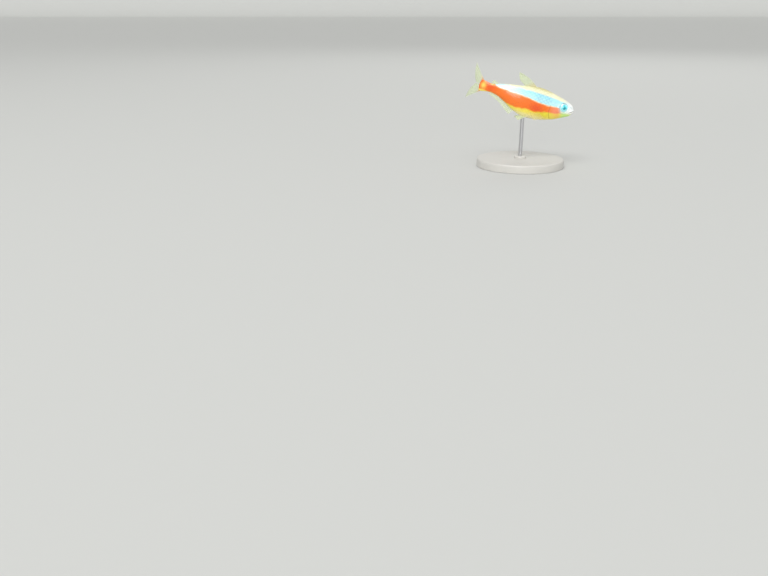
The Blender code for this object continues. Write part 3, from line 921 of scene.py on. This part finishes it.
@dataclass(frozen=True)
class FinFinish:
    """Clear fin membrane with paler, denser rays that are jointed across."""

    name: str
    web: Colour = (206, 220, 168)
    ray: Colour = (238, 244, 214)
    root: Colour = (244, 190, 110)
    root_share: float = 0.5
    root_reach: float = 0.40
    web_alpha: float = 0.26
    ray_alpha: float = 0.48
    joints: float = 150.0
    cloud: float = 0.5 * MM
    grain: float = 0.12 * MM
    depth: float = 0.012 * MM

    def make(self) -> Material:
        """Builds the material.

        Returns:
            The material.
        """
        sheet = ShaderSheet(self.name)
        ray, reach = sheet.attribute("ray"), sheet.attribute("reach")
        colour = sheet.colour_mix("MIX", ray, shade(self.web), shade(self.ray))
        near = (1 - reach * (1 / self.root_reach)).held()
        colour = sheet.colour_mix("MIX", self.root_share * near, colour, shade(self.root))
        joint = 0.5 + 0.5 * (self.joints * reach).sine()
        mottle = sheet.noise(self.cloud)
        alpha = self.web_alpha + 0.10 * mottle + self.ray_alpha * ray + 0.35 * near
        sheet.set(Base_Color=colour, Alpha=alpha, Roughness=0.22 + 0.2 * mottle)
        sheet.set(Coat_Weight=0.3, Coat_Roughness=0.10)
        sheet.bump(0.6 * joint * ray + 0.4 * sheet.noise(self.grain), self.depth, 0.7)
        return sheet.material


@dataclass(frozen=True)
class EyeFinish:
    """The eye under its clear, wet cornea, with a faint painted glow on its iris."""

    name: str = "tetra_eye"
    grain: float = 0.07 * MM
    glow_strength: float = 0.18
    depth: float = 0.006 * MM

    def make(self) -> Material:
        """Builds the material.

        Returns:
            The material.
        """
        sheet = ShaderSheet(self.name)
        glow = sheet.attribute("glow")
        grain = sheet.noise(self.grain, 4.0)
        sheet.set(Base_Color=sheet.mottled(0.35 * glow, sheet.paint(), grain), Metallic=0.45 * glow)
        sheet.set(Roughness=0.10 + 0.20 * glow * grain, Coat_Weight=1.0, Coat_Roughness=0.02)
        # painted glow: the iris gives off a little light in its own colour
        sheet.pearl(glow, self.glow_strength)
        sheet.bump(grain, self.depth, 0.4)
        return sheet.material


@dataclass(frozen=True)
class StandPaint:
    """Satin paint on the base: faint orange peel and a cloudy sheen."""

    name: str = "stand_paint"
    colour: Colour = (205, 203, 197)
    cloud: float = 4 * MM
    peel: float = 0.35 * MM
    depth: float = 0.015 * MM

    def make(self) -> Material:
        """Builds the material.

        Returns:
            The material.
        """
        sheet = ShaderSheet(self.name)
        cloud, peel = sheet.noise(self.cloud), sheet.noise(self.peel, 2.0)
        sheet.set(Base_Color=sheet.mottled(0.10, shade(self.colour), cloud), Roughness=0.36 + 0.16 * cloud)
        sheet.set(Coat_Weight=0.15, Coat_Roughness=0.25)
        sheet.bump(peel, self.depth, 0.5)
        return sheet.material


@dataclass(frozen=True)
class RodSteel:
    """Brushed steel with streaks along the rod."""

    name: str = "rod_steel"
    colour: Colour = (200, 200, 202)
    streak: float = 0.10 * MM
    stretch: Point = (1, 1, 0.04)
    depth: float = 0.006 * MM

    def make(self) -> Material:
        """Builds the material.

        Returns:
            The material.
        """
        sheet = ShaderSheet(self.name)
        streak = sheet.noise(self.streak, stretch=self.stretch)
        colour = sheet.mottled(0.25, shade(self.colour), streak)
        sheet.set(Base_Color=colour, Metallic=1.0, Roughness=0.24 + 0.18 * streak)
        sheet.bump(streak, self.depth, 0.5)
        return sheet.material


@dataclass(frozen=True)
class FloorFinish:
    """The plain pale floor."""

    name: str = "pale_floor"
    colour: Colour = (204, 205, 202)

    def make(self) -> Material:
        """Builds the material.

        Returns:
            The material.
        """
        sheet = ShaderSheet(self.name)
        sheet.set(Base_Color=shade(self.colour), Roughness=0.85, Specular_IOR_Level=0.0)
        return sheet.material


# ---------------------------------------------------------------- pieces


class Side(Enum):
    """The fish's left and right."""

    LEFT = 1
    RIGHT = -1

    @property
    def word(self) -> str:
        """The side's name."""
        return self.name.lower()


def finish_piece(piece: Piece, material: Material, nodes: tuple[str, ...]) -> None:
    """Dresses a piece, lets it ride on the part and says which solids it stands for.

    Args:
        piece: The piece.
        material: Its material.
        nodes: The solids that it replaces.
    """
    piece.data.materials.append(material)
    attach(piece, "root")
    if nodes:
        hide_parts(*nodes)
    LOG.info("%s: %d faces, replaces %s", piece.name, len(piece.data.polygons), ", ".join(nodes) or "nothing")


@dataclass
class Skin:
    """The one skin over head, jaw, gill covers, trunk and tail stem."""

    body: BodyForm
    head: HeadForm
    markings: Markings
    rows: int = 310
    columns: int = 320

    def build(self) -> Piece:
        """The loft on a grid: rows crowd to the snout, and the head's relief moves points along their facing.

        Returns:
            The skin.
        """
        share, around = np.linspace(0, 1, self.rows), np.arange(self.columns) / self.columns
        along, turn = np.meshgrid(self.body.along_at(share), self.body.turn_at(around), indexing="ij")
        at = self.body.spots(along, self.body.bare(along, turn)[..., 2])
        fish = self.body.skin(along, turn, self.head.relief(at))
        fish[0] = fish[0].mean(0)
        fish[-1, :, 1] = 0
        quads = grid_quads(self.rows, self.columns, wrap=True)
        # the skin's colour, with painted shade in the mouth's slit, the nostrils and the gill opening
        paint = self.markings.in_hollows(self.markings.paint(at), at)
        values = {"paint": paint, "glow": self.markings.glow(at)}
        corners = round_map(share, quads, self.columns)
        return make_mesh("body_skin", self.body.placed(fish), quads, corners, values)

    def dress(self, piece: Piece) -> None:
        """Gives the skin its finish and its solids."""
        nodes = ("head", "lower_jaw", "gill_cover_left", "gill_cover_right", "trunk", "tail_stem")
        finish_piece(piece, SkinFinish().make(), nodes)


@dataclass
class ScaleCoat:
    """Overlapping round-edged scales from the nape and gill covers to the tail's root."""

    body: BodyForm
    head: HeadForm
    markings: Markings
    first: float = 0.175
    last: float = 1.000
    columns: int = 40
    taper: float = 0.68  # how far apart the last columns are, beside the first
    rows_deep: float = 10.5  # rows on a flank where the body is deepest
    rows_slim: float = 7.0
    depths: tuple[float, float] = (0.09, 0.30)  # the body's depths, between which the rows grow in number
    end_gap: float = 0.25  # no row this near the middle line of back or belly, in rows
    overlap: float = 3.3  # a scale's length in columns
    spread: float = 0.66  # a scale's half width in rows
    squareness: float = 0.80  # the power that rounds its rear edge
    nape: tuple[float, float] = (0.205, 0.045)
    bare_strip: float = 0.32 * MM  # bare skin behind the gill's opening
    sunk_share: float = 0.34  # how much of a scale is below the skin
    shortest: float = 0.80 * MM
    wide_points: int = 9
    top_rows: tuple[float, ...] = (0.0, 0.50, 0.82, 1.0)
    bottom_rows: tuple[float, ...] = (0.0, 0.60, 1.0)
    thickness: float = 0.022 * MM
    edge_lift: float = 0.075 * MM
    low_lift: float = 0.40  # the share of it on small scales
    heights: tuple[float, float] = (0.55 * MM, 1.0 * MM)  # row heights, between which the lift grows
    root_sink: float = 0.065 * MM
    crown: float = 0.015 * MM
    side_sink: float = 0.030 * MM
    least_girth: float = 0.12 * MM  # the least length of skin that a radian of turn counts as
    uneven: tuple[float, float, float, float] = (0.02, 0.02, 0.012, 0.08)  # in length, width, turn and lift
    paint_shift: float = 0.10 * MM
    rings: tuple[float, float] = (1.15, 0.55)  # reach of the growth rings, back and aside
    seed: int = 11

    def layout(self) -> Array:
        """Places of the scales. Each column's rows step away from the flank's middle by equal lengths of the
        section's outline, the sum of its short steps, and every other column sits half a row off.

        Returns:
            Distance along and turn of the root, row height and length, one row for each scale.
        """
        steps = np.linspace(1.0, self.taper, self.columns)
        spacing = steps * self.body.size(self.last - self.first) / steps.sum()
        places = self.body.size(self.first) + np.cumsum(spacing) - spacing
        turns = np.linspace(0, np.pi, 181)
        found = []
        for number, (along, step) in enumerate(zip(places, spacing)):
            run = run_of(self.body.bare(np.full_like(turns, along), turns))
            top, bottom, _, _ = self.body.section(np.array(along))
            deep = ease(*self.depths, (top - bottom) / self.body.length)
            height = run[-1] / mix(self.rows_slim, self.rows_deep, deep)
            rungs = np.interp(np.pi / 2, turns, run) + (np.arange(-8, 9) + 0.5 * (number % 2)) * height
            rungs = rungs[(rungs > self.end_gap * height) & (rungs < run[-1] - self.end_gap * height)]
            turn = np.interp(rungs, run, turns)
            turn = np.concatenate([turn, 2 * np.pi - turn, [0.0, np.pi]])
            ones = np.ones_like(turn)
            found.append(np.stack([along * ones, turn, step * ones, height * ones], -1))
        along, turn, step, height = np.concatenate(found).T
        at = self.body.spots(along, self.body.bare(along, turn)[:, 2])
        edge, cover = self.head.gill_edge(at)
        behind, length = along - edge, self.overlap * step
        start = (self.bare_strip - self.sunk_share * (behind + length)) / (1 - self.sunk_share)
        shift = cover * np.maximum(start - behind, 0)
        clear = self.head.behind_gill(at)[0] > -0.1 * step
        kept = np.where(cover > 0, behind + length > self.shortest, clear)
        kept = np.where(at.z >= self.body.size(self.nape[1]), along > self.body.size(self.nape[0]), kept)
        return np.stack([along + shift, turn, height, length - shift], -1)[kept]

    def build(self, side: Side) -> Piece:
        """One side's scales. On each, u runs back from its root and v across it. The rear edge is a power of
        a half circle in v. The scale rises from its sunk root to its free edge, and is crowned across. A
        coarser layer below closes it.

        Args:
            side: The side. Scales on the middle line of back and belly go with the left.

        Returns:
            The scales as one piece.
        """
        laid = self.layout()
        left = laid[:, 1] <= np.pi + 1e-6
        laid = laid[left if side is Side.LEFT else ~left]
        root, turn0, height, length = (part[:, None, None] for part in laid.T)
        loose = np.random.default_rng(self.seed + side.value).normal(0, 1, (6, len(laid), 1, 1))
        longer, wider, turned, lifted = (share * chance for share, chance in zip(self.uneven, loose))
        v = np.sin(np.linspace(-np.pi / 2, np.pi / 2, self.wide_points))[None, None, :]
        rows = np.array(self.top_rows + self.bottom_rows)[None, :, None]
        along = root + rows * (1 - v * v) ** (self.squareness / 2) * length * (1 + longer)
        step = 1e-3
        girth = self.body.bare(root, turn0 + step) - self.body.bare(root, turn0 - step)
        girth = np.maximum(np.linalg.norm(girth, axis=-1) / (2 * step), self.least_girth)
        turn = turn0 + v * self.spread * height * (1 + wider) / girth + turned * rows
        u = (along - root) / length
        edge = self.edge_lift * (1 + lifted) * mix(self.low_lift, 1.0, ease(*self.heights, height))
        lift = mix(-self.root_sink, edge, u ** 0.8) + self.crown * (1 - v * v) - self.side_sink * v ** 8
        lift = lift - np.where(np.arange(rows.size)[:, None] < len(self.top_rows), 0, self.thickness)
        along, turn = np.broadcast_arrays(along, turn)
        points = self.body.placed(self.body.skin(along, turn, lift))
        one = lens_quads(len(self.top_rows), len(self.bottom_rows), self.wide_points)
        quads = one + rows.size * self.wide_points * np.arange(len(laid))[:, None, None]
        spot = np.stack(np.broadcast_arrays(rows * (1 - 0.9 * v * v) - 0.5, 0.5 * v), -1)
        patch = (self.body.unwrap(root, turn0) + PATCH * spot).reshape(-1, 2)
        at = self.body.spots(along, self.body.bare(along, turn)[..., 2])
        rings = {"ring_back": self.rings[0] * (1 - u), "ring_aside": self.rings[1] * v}
        values = {title: np.broadcast_to(ring, along.shape) for title, ring in rings.items()}
        values |= {"paint": self.paint(at, rows, loose[4:]), "glow": self.markings.glow(at)}
        return make_mesh(f"scales_{side.word}", points, quads.reshape(-1, 4), patch[quads.ravel()], values)

    def paint(self, at: Spots, rows: Array, loose: Array) -> Array:
        """The markings, shifted a little from scale to scale, with dark rear edges on the back and stripe.

        Args:
            at: Places of the scales' points.
            rows: 0 at the roots to 1 at the rear edges.
            loose: Two random numbers for each scale.

        Returns:
            Linear colours.
        """
        along, z = np.clip(loose, -2, 2) * self.paint_shift
        colour = self.markings.paint(self.body.spots(at.along + along, at.z + 0.5 * z))
        glow = self.markings.glow(at)
        margin = mix(0.13, 0.24, ease(0.060, 0.100, at.b)) + 0.25 * glow
        return blend(colour, blend(self.markings.ink, self.markings.stripe_deep, glow), margin * (rows == 1))

    def dress(self, piece: Piece, finish: Material) -> None:
        """Gives the scales their finish."""
        finish_piece(piece, finish, ())


@dataclass
class Eye:
    """An eye: a flattened ball in its socket, with a raised lens, an iris of fine rays and a dark rim."""

    body: BodyForm
    head: HeadForm
    side: Side
    depth: float = 0.85 * MM
    proud: float = 0.37 * MM
    lens_share: float = 0.41
    lens_lift: float = 0.12 * MM
    rings: int = 72
    spokes: int = 96
    iris: Colour = (72, 228, 240)
    iris_edge: Colour = (226, 250, 252)
    iris_low: Colour = (226, 250, 246)
    fibre: Colour = (40, 160, 206)
    pupil_ring: Colour = (206, 250, 240)
    pupil: Colour = (24, 178, 190)
    pupil_deep: Colour = (8, 112, 130)
    rim: Colour = (36, 84, 100)

    def build(self) -> Piece:
        """A half ellipse turned about the eye's own axis. The lens lifts it by 1 less the fourth power of the
        distance from the pupil's centre, in pupils.

        Returns:
            The eye.
        """
        radius = self.body.size(self.head.eye_radius)
        angle = np.linspace(0, np.pi, self.rings)[:, None]
        bearing = 2 * np.pi * np.arange(self.spokes)[None, :] / self.spokes
        r, h = radius * np.sin(angle), self.depth * np.cos(angle)
        h = h + self.lens_lift * np.clip(1 - (r / (self.lens_share * radius)) ** 4, 0, 1) * (h > 0)
        local = np.stack([r * np.cos(bearing), r * np.sin(bearing), h + 0 * bearing], -1)
        step = 1e-4
        a, z = map(self.body.size, self.head.eye)
        ahead, here, behind = (float(self.body.flank(a + away, z)) for away in (-step, 0, step))
        slope = (behind - ahead) / (2 * step)
        facing = np.array([-slope, self.side.value, 0.0]) / math.hypot(slope, 1.0)
        back = np.array([facing[1], -facing[0], 0.0]) * self.side.value
        centre = np.array([a, self.side.value * here, z]) + facing * (self.proud - self.depth)
        fish = centre + local @ np.stack([back, np.array([0.0, 0.0, 1.0]), facing])
        share, bearing, front = np.broadcast_arrays(np.sin(angle), bearing, angle < 1.6)
        paint, glow = self.paint(share, bearing, front)
        quads = grid_quads(self.rings, self.spokes, wrap=True)
        corners = round_map(np.linspace(0, 1, self.rings), quads, self.spokes)
        values = {"paint": paint, "glow": glow}
        return make_mesh(f"eye_{self.side.word}_ball", self.body.placed(fish), quads, corners, values)

    def paint(self, share: Array, bearing: Array, front: Array) -> tuple[Array, Array]:
        """Colour of the eye, and the iris's mask, which makes it metallic and paints a faint glow on it.

        Args:
            share: Distance from the pupil's centre, 1 at the eye's edge.
            bearing: Angle round the pupil, from the rear upwards.
            front: True on the side that looks out.

        Returns:
            Linear colours, and the iris's mask from 0 to 1.
        """
        fibres = 0.5 + 0.5 * wobble(23 * bearing + 4 * share, 2.0)
        colour = coats(
            self.iris,
            (self.iris_edge, 0.80 * ease(0.50, 0.90, share)),
            (self.iris_low, 0.35 * ease(0.1, -0.8, np.sin(bearing))),
            (self.fibre, 0.30 * fibres * ease(0.46, 0.80, share)),
            (self.pupil_ring, 0.60 * bell(share - 0.440, 0.025)),
            (self.pupil, 1 - ease(0.37, 0.42, share)),
            (self.pupil_deep, 0.6 * (1 - ease(0.05, 0.36, share))),
            (self.rim, np.clip(ease(0.925, 0.985, share) + (1 - front), 0, 1)),
        )
        return colour, ease(0.38, 0.46, share) * (1 - ease(0.90, 0.97, share)) * front

    def dress(self, piece: Piece, finish: Material) -> None:
        """Gives the eye its finish and its solid."""
        finish_piece(piece, finish, (f"eye_{self.side.word}",))


class Root(Enum):
    """Where the rays of a fin start: below the skin of the back or belly, or on a line between two points."""

    BACK = "back"
    BELLY = "belly"
    LINE = "line"


@dataclass(frozen=True)
class FinForm:
    """A fin's form in standard lengths. Pairs are for the rays at the ends of its base, front one first."""

    node: str
    rays: int
    roots: tuple[Point, Point]  # along, to the left and up
    rise: tuple[float, float]  # degrees above the way to the tail
    length: tuple[float, float]
    bow: tuple[Point, Point]  # how far the tips curve to the tail, to the left and up
    out: tuple[float, float] = (0.0, 0.0)  # degrees to the left of the way to the tail
    rise_power: float = 1.0
    length_power: float = 1.0
    lobe: float = 0.0  # extra length of the rays near the first
    across: Point = (0.0, 1.0, 0.0)  # the way of its thickness
    root: Root = Root.LINE
    stout: int = 1  # rays that don't branch, at the leading edge
    leads: int = 0  # which end's ray is the leading edge, 0 or 1
    soft: bool = False  # a fin without rays
    folds: float = 1.0  # how deep its ridges and ripples are

    def on_side(self, side: Side) -> "FinForm":
        """The same form on one side of the fish.

        Args:
            side: The side.

        Returns:
            The form, mirrored for the right.
        """
        mirror = np.array([1.0, side.value, 1.0])
        return replace(
            self,
            node=f"{self.node}_{side.word}",
            roots=tuple(mirror * point for point in self.roots),
            bow=tuple(mirror * bow for bow in self.bow),
            out=tuple(side.value * angle for angle in self.out),
            across=tuple(mirror * self.across),
        )


@dataclass
class Fins:
    """All the fins: thin webs with rays raised on both faces, each from its own form."""

    body: BodyForm
    sink: float = 0.022  # how far below the skin the rays start
    web: float = 0.075 * MM
    ray_lift: float = 0.050 * MM
    root_swell: float = 0.16 * MM
    swell_reach: float = 0.18
    scallop: float = 0.045
    lobe_width: float = 0.25
    ragged: float = 0.012
    ripple: float = 0.05 * MM
    sway: float = 0.07 * MM
    ray_width: float = 0.15
    parting: float = 0.24  # how far a ray's two branches part, in spaces between rays
    between: int = 10
    rows: int = 56
    seed: int = 5

    def forms(self) -> list[FinForm]:
        """Sets out every fin.

        Returns:
            Their forms.
        """
        dorsal = FinForm(
            "dorsal_fin", 11, ((0.432, 0, 0), (0.548, 0, 0)), (46, 38), (0.262, 0.096),
            ((0.056, 0, -0.072), (0.010, 0, -0.004)), root=Root.BACK, stout=2,
        )
        anal = FinForm(
            "anal_fin", 17, ((0.605, 0, 0), (0.850, 0, 0)), (-66, -38), (0.058, 0.072),
            ((0.008, 0, 0.006), (0.015, 0, 0.006)), rise_power=0.6, lobe=0.024, root=Root.BELLY, stout=3,
        )
        adipose = FinForm(
            "adipose_fin", 4, ((0.815, 0, 0), (0.845, 0, 0)), (38, 26), (0.086, 0.066),
            ((0.008, 0, -0.012), (0.008, 0, -0.012)), root=Root.BACK, soft=True,
        )
        tail_root = self.body.section(self.body.size(1))
        top, bottom, level, _ = (float(size) / self.body.length for size in tail_root)
        upper = FinForm(
            "caudal_fin_upper", 10, ((0.990, 0, level), (0.990, 0, top - 0.009)), (5, 40), (0.131, 0.280),
            ((0, 0.014, 0), (0.012, 0.014, -0.020)), (14, 14), length_power=1.15, leads=1,
        )
        lower = replace(
            upper, node="caudal_fin_lower", rays=9, roots=((0.990, 0, level), (0.990, 0, bottom + 0.009)),
            rise=(1, -32), bow=((0, 0.014, 0), (0.012, 0.014, 0.016)),
        )
        pelvic = FinForm(
            "pelvic_fin", 8, ((0.452, 0.027, -0.160), (0.480, 0.012, -0.160)), (-40, -30), (0.138, 0.095),
            ((0.012, 0, 0.010), (0.012, 0, 0.010)), (32, 8), across=(0.62, 0.22, 0.75), folds=0.5,
        )
        flank = float(self.body.flank(self.body.size(0.288), self.body.size(-0.100)))
        out = flank / self.body.length - self.sink
        pectoral = FinForm(
            "pectoral_fin", 11, ((0.288, out, -0.100), (0.296, out, -0.130)), (-4, -34), (0.200, 0.110),
            ((0.006, -0.022, -0.004), (0.006, -0.022, -0.004)), (24, 30), length_power=0.8,
            across=(-0.40, 0.88, -0.15), folds=0.45,
        )
        paired = [form.on_side(side) for form in (pelvic, pectoral) for side in Side]
        return [dorsal, anal, adipose, upper, lower] + paired

    def roots(self, form: FinForm, p: Array) -> Array:
        """Where the rays start.

        Args:
            form: The fin's form.
            p: Places from 0 to 1 along its base.

        Returns:
            Points as (along, y, z) in metres.
        """
        first, last = (self.body.length * np.array(point) for point in form.roots)
        line = mix(first, last, p[:, None])
        top, bottom, _, _ = self.body.section(line[:, 0])
        if form.root is Root.BACK:
            line[:, 2] = top - self.body.size(self.sink)
        if form.root is Root.BELLY:
            line[:, 2] = bottom + self.body.size(self.sink)
        return line

    def sheet(self, form: FinForm, p: Array, r: Array, drawn: Array) -> Array:
        """The fin's middle sheet: a ray's root, plus the reach times its length and heading, plus the reach
        squared times its bow.

        Args:
            form: The fin's form.
            p: Places from 0 to 1 along its base.
            r: Reach from 0 at the root to 1 at the tip, a column.
            drawn: What the length is multiplied by at each place.

        Returns:
            Points as (along, y, z) in metres.
        """
        rise, out = np.radians(mix(*form.rise, p ** form.rise_power)), np.radians(mix(*form.out, p))
        long = mix(*form.length, p ** form.length_power) + form.lobe * bell(p, self.lobe_width)
        way = np.stack([np.cos(rise) * np.cos(out), np.sin(out), np.sin(rise) * np.cos(out)], -1)
        first, last = (self.body.length * np.array(bow) for bow in form.bow)
        bow = mix(first, last, p[:, None])
        reach = (r * self.body.size(1) * long * drawn)[..., None]
        return self.roots(form, p) + reach * way + (r * r)[..., None] * bow

    def build(self, form: FinForm) -> Piece:
        """One fin. A ray is a bell across its place that parts in two further out, and a cosine draws in the
        web's edge between the rays.

        Args:
            form: The fin's form.

        Returns:
            The fin.
        """
        columns = (form.rays - 1) * self.between + 1
        p = np.linspace(0, 1, columns)
        r = np.linspace(0, 1, self.rows)[:, None]
        number = np.round(p * (form.rays - 1))
        off = p * (form.rays - 1) - number
        from_lead = np.abs(number - form.leads * (form.rays - 1))
        part = self.parting * ease(0.38, 0.95, r) * (from_lead >= form.stout)
        width = self.ray_width - 0.05 * r
        crest = np.maximum(bell(off - part, width), bell(off + part, width))
        chance = np.random.default_rng(self.seed + len(form.node))
        folds = form.folds * (not form.soft)
        uneven = np.interp(p, np.linspace(0, 1, form.rays), chance.normal(0, self.ragged, form.rays))
        drawn = 1 + (uneven - self.scallop * (1 - np.cos(2 * np.pi * off)) / 2) * folds
        wave = (self.ripple * np.cos(2 * np.pi * off) + self.sway * np.sin(5.2 * p + 0.7)) * r * folds
        across = np.array(form.across) / np.linalg.norm(form.across)
        middle = self.sheet(form, p, r, drawn) + wave[..., None] * across
        stout = 1 + 0.6 * bell(from_lead, 0.8)
        half = self.web / 2 * (1 - 0.6 * r) + self.root_swell * np.clip(1 - r / self.swell_reach, 0, 1) ** 2
        half = (half + self.ray_lift * crest * (1 - 0.72 * r) * stout * folds)[..., None] * across
        quads = shell_quads(self.rows, columns)
        uv = np.stack(np.broadcast_arrays(r, 0.48 * p), -1).reshape(-1, 2)
        uv = np.concatenate([uv, uv + [0, 0.52]])
        ray = 0.3 + 0 * crest if form.soft else np.clip(crest * (1 - 0.35 * r) * stout, 0, 1)
        values = {"ray": np.stack([ray, ray]), "reach": np.stack([r + 0 * p] * 2)}
        layers = self.body.placed(np.stack([middle + half, middle - half]))
        return make_mesh(form.node + "_web", layers, quads, uv[quads.ravel()], values)

    def dress(self, piece: Piece, form: FinForm) -> None:
        """Gives a fin its finish and its solid. The tail is orange at its root, and pectoral fins are clear.

        Args:
            piece: The fin.
            form: Its form.
        """
        looks = {
            "caudal": {"root": (252, 150, 62), "root_share": 1.0, "root_reach": 0.34},
            "pectoral": {"web": (246, 228, 138), "ray": (252, 240, 176), "root_share": 0.2,
                         "web_alpha": 0.07, "ray_alpha": 0.24},
        }
        finish = FinFinish(form.node, **looks.get(form.node.split("_")[0], {}))
        finish_piece(piece, finish.make(), (form.node,))


def quarter(r: float, z: float, radius: float, first: float) -> Array:
    """A quarter circle round (r, z): r plus radius times the sine, z plus radius times the cosine."""
    turn = first + np.linspace(0, np.pi / 2, 9)
    return np.stack([r + radius * np.sin(turn), z + radius * np.cos(turn)], -1)


@dataclass
class Stand:
    """The base with its boss, and the rod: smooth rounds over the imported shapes."""

    body: BodyForm
    base_radius: float = 16.0 * MM
    base_edge: float = 0.6 * MM
    foot_edge: float = 0.3 * MM
    boss_radius: float = 2.2 * MM
    boss_height: float = 0.8 * MM
    boss_edge: float = 0.3 * MM
    rod_radius: float = 0.7 * MM
    rod_sink: float = 0.1 * MM  # how far the rod reaches into its boss
    rod_reach: float = 1.0 * MM  # and into the belly
    guard: float = 0.05 * MM  # how near a flat's last ring lies to the rounding that it runs into
    columns: int = 128

    def base_profile(self) -> Array:
        """From the middle of the boss's top, over its edge, the base's edge and foot, to below.

        Returns:
            Radius and height of each row.
        """
        level = self.body.base_height
        top = level + self.boss_height
        boss, base = self.boss_radius - self.boss_edge, self.base_radius - self.base_edge
        foot = self.base_radius - self.foot_edge
        return np.concatenate([
            [(0, top), (boss - self.guard, top)],
            quarter(boss, top - self.boss_edge, self.boss_edge, 0),
            [(self.boss_radius, level), (base - self.guard, level)],
            quarter(base, level - self.base_edge, self.base_edge, 0),
            quarter(foot, self.foot_edge, self.foot_edge, np.pi / 2),
            [(foot - self.guard, 0), (0, 0)],
        ])

    def rod_profile(self) -> Array:
        """From the rod's foot to its top.

        Returns:
            Radius and height of each row.
        """
        foot = self.body.base_height + self.boss_height - self.rod_sink
        top = self.body.base_height + self.body.rod_height + self.rod_reach
        return np.array([(0, foot), (self.rod_radius, foot), (self.rod_radius, top), (0, top)])

    def turned(self, name: str, profile: Array) -> Piece:
        """A profile carried round the upright axis: x and y are its radius times cosine and sine of the turn.

        Args:
            name: Name of the piece.
            profile: Radius and height of each row.

        Returns:
            The piece.
        """
        turn = 2 * np.pi * np.arange(self.columns) / self.columns
        r, z = profile.T[:, :, None]
        points = np.stack([r * np.cos(turn), r * np.sin(turn), z + 0 * turn], -1)
        run = run_of(profile)
        quads = grid_quads(len(profile), self.columns, wrap=True)
        return make_mesh(name, points, quads, round_map(run / run[-1], quads, self.columns), {})

    def build(self) -> None:
        """Builds and dresses the base and the rod."""
        base = self.turned("base_plate", self.base_profile())
        finish_piece(base, StandPaint().make(), ("stand_base",))
        rod = self.turned("rod_bar", self.rod_profile())
        finish_piece(rod, RodSteel().make(), ("stand_rod",))


# ---------------------------------------------------------------- studio


@dataclass(frozen=True)
class Lamp:
    """A soft light on the fish: a square one, or an even one from one side whose size is an angle."""

    name: str
    place: Point
    size: float
    power: float
    even: bool = False

    def build(self, target: Point) -> None:
        """Places the light and aims it.

        Args:
            target: Where it looks.
        """
        data = bpy.data.lights.new(self.name, "SUN" if self.even else "AREA")
        setattr(data, "angle" if self.even else "size", self.size)
        data.energy = self.power
        lamp = add_object(self.name, data)
        lamp.location = self.place
        lamp.rotation_euler = (Vector(target) - Vector(self.place)).to_track_quat("-Z", "Y").to_euler()


@dataclass
class Studio:
    """The pale floor, the lights and the camera."""

    focal_px: float = 754.0
    width_px: float = 768.0
    sensor: float = 36.0
    clip: tuple[float, float] = (0.01, 50.0)
    pitch: float = 20.0
    place: Point = (-0.05067, -0.28065, 0.05355)
    target: Point = (0.0, 0.0, 0.022)
    floor_reach: float = 12.0
    cove: float = 1.0
    sky: float = 0.42
    lamps: tuple[Lamp, ...] = (
        Lamp("day", (-0.20, -0.50, 0.80), math.radians(45), 1.27, even=True),
        Lamp("key", (-0.25, -0.45, 0.60), 0.35, 1.3),
        Lamp("fill", (0.75, -0.35, 0.20), 0.50, 0.9),
        Lamp("front", (-0.10, -0.55, 0.12), math.radians(25), 0.84, even=True),
        Lamp("rim", (0.20, 0.60, 0.60), 0.50, 1.0),
    )

    def floor(self) -> None:
        """A flat floor that curves up into a wall far behind: a line, a quarter circle and a line."""
        angle = np.linspace(0, np.pi / 2, 24)
        y = np.concatenate([[-self.floor_reach], self.floor_reach + self.cove * np.sin(angle)])
        z = np.concatenate([[0.0], self.cove * (1 - np.cos(angle))])
        y, z = np.append(y, y[-1]), np.append(z, z[-1] + self.floor_reach)
        x = np.linspace(-2 * self.floor_reach, 2 * self.floor_reach, 3)
        points = np.stack(np.broadcast_arrays(x, y[:, None], z[:, None]), -1)
        mesh = bpy.data.meshes.new("floor")
        mesh.from_pydata(points.reshape(-1, 3), [], grid_quads(len(y), len(x)))
        mesh.shade_smooth()
        mesh.materials.append(FloorFinish().make())
        add_object("floor", mesh)

    def camera(self) -> None:
        """The camera, level across and pitched down, with the photograph's framing."""
        data = bpy.data.cameras.new("camera")
        data.sensor_width = self.sensor
        data.lens = self.focal_px / self.width_px * self.sensor
        data.clip_start, data.clip_end = self.clip
        made = add_object("camera", data)
        made.location = self.place
        made.rotation_euler = (math.radians(90 - self.pitch), 0.0, 0.0)
        bpy.context.scene.camera = made

    def build(self) -> None:
        """Builds the floor, the lights and the camera."""
        self.floor()
        self.camera()
        for lamp in self.lamps:
            lamp.build(self.target)
        world = bpy.data.worlds.new("studio")
        world.use_nodes = True
        sky = world.node_tree.nodes["Background"].inputs
        sky["Color"].default_value = (1, 1, 1, 1)
        sky["Strength"].default_value = self.sky
        bpy.context.scene.world = world
        bpy.context.scene.view_settings.view_transform = "Standard"


def main() -> None:
    """Builds the studio and every piece in order."""
    logging.basicConfig(level=logging.INFO, format="%(name)s: %(message)s")
    Studio().build()
    body = BodyForm()
    head = HeadForm(body)
    markings = Markings(body, head)
    skin = Skin(body, head, markings)
    skin.dress(skin.build())
    coat = ScaleCoat(body, head, markings)
    scale_finish = SkinFinish("tetra_scales", ridges=96.0, depth=0.008 * MM).make()
    for side in Side:
        coat.dress(coat.build(side), scale_finish)
    eye_finish = EyeFinish().make()
    for side in Side:
        eye = Eye(body, head, side)
        eye.dress(eye.build(), eye_finish)
    fins = Fins(body)
    for form in fins.forms():
        fins.dress(fins.build(form), form)
    Stand(body).build()


if __name__ == "__main__":
    main()
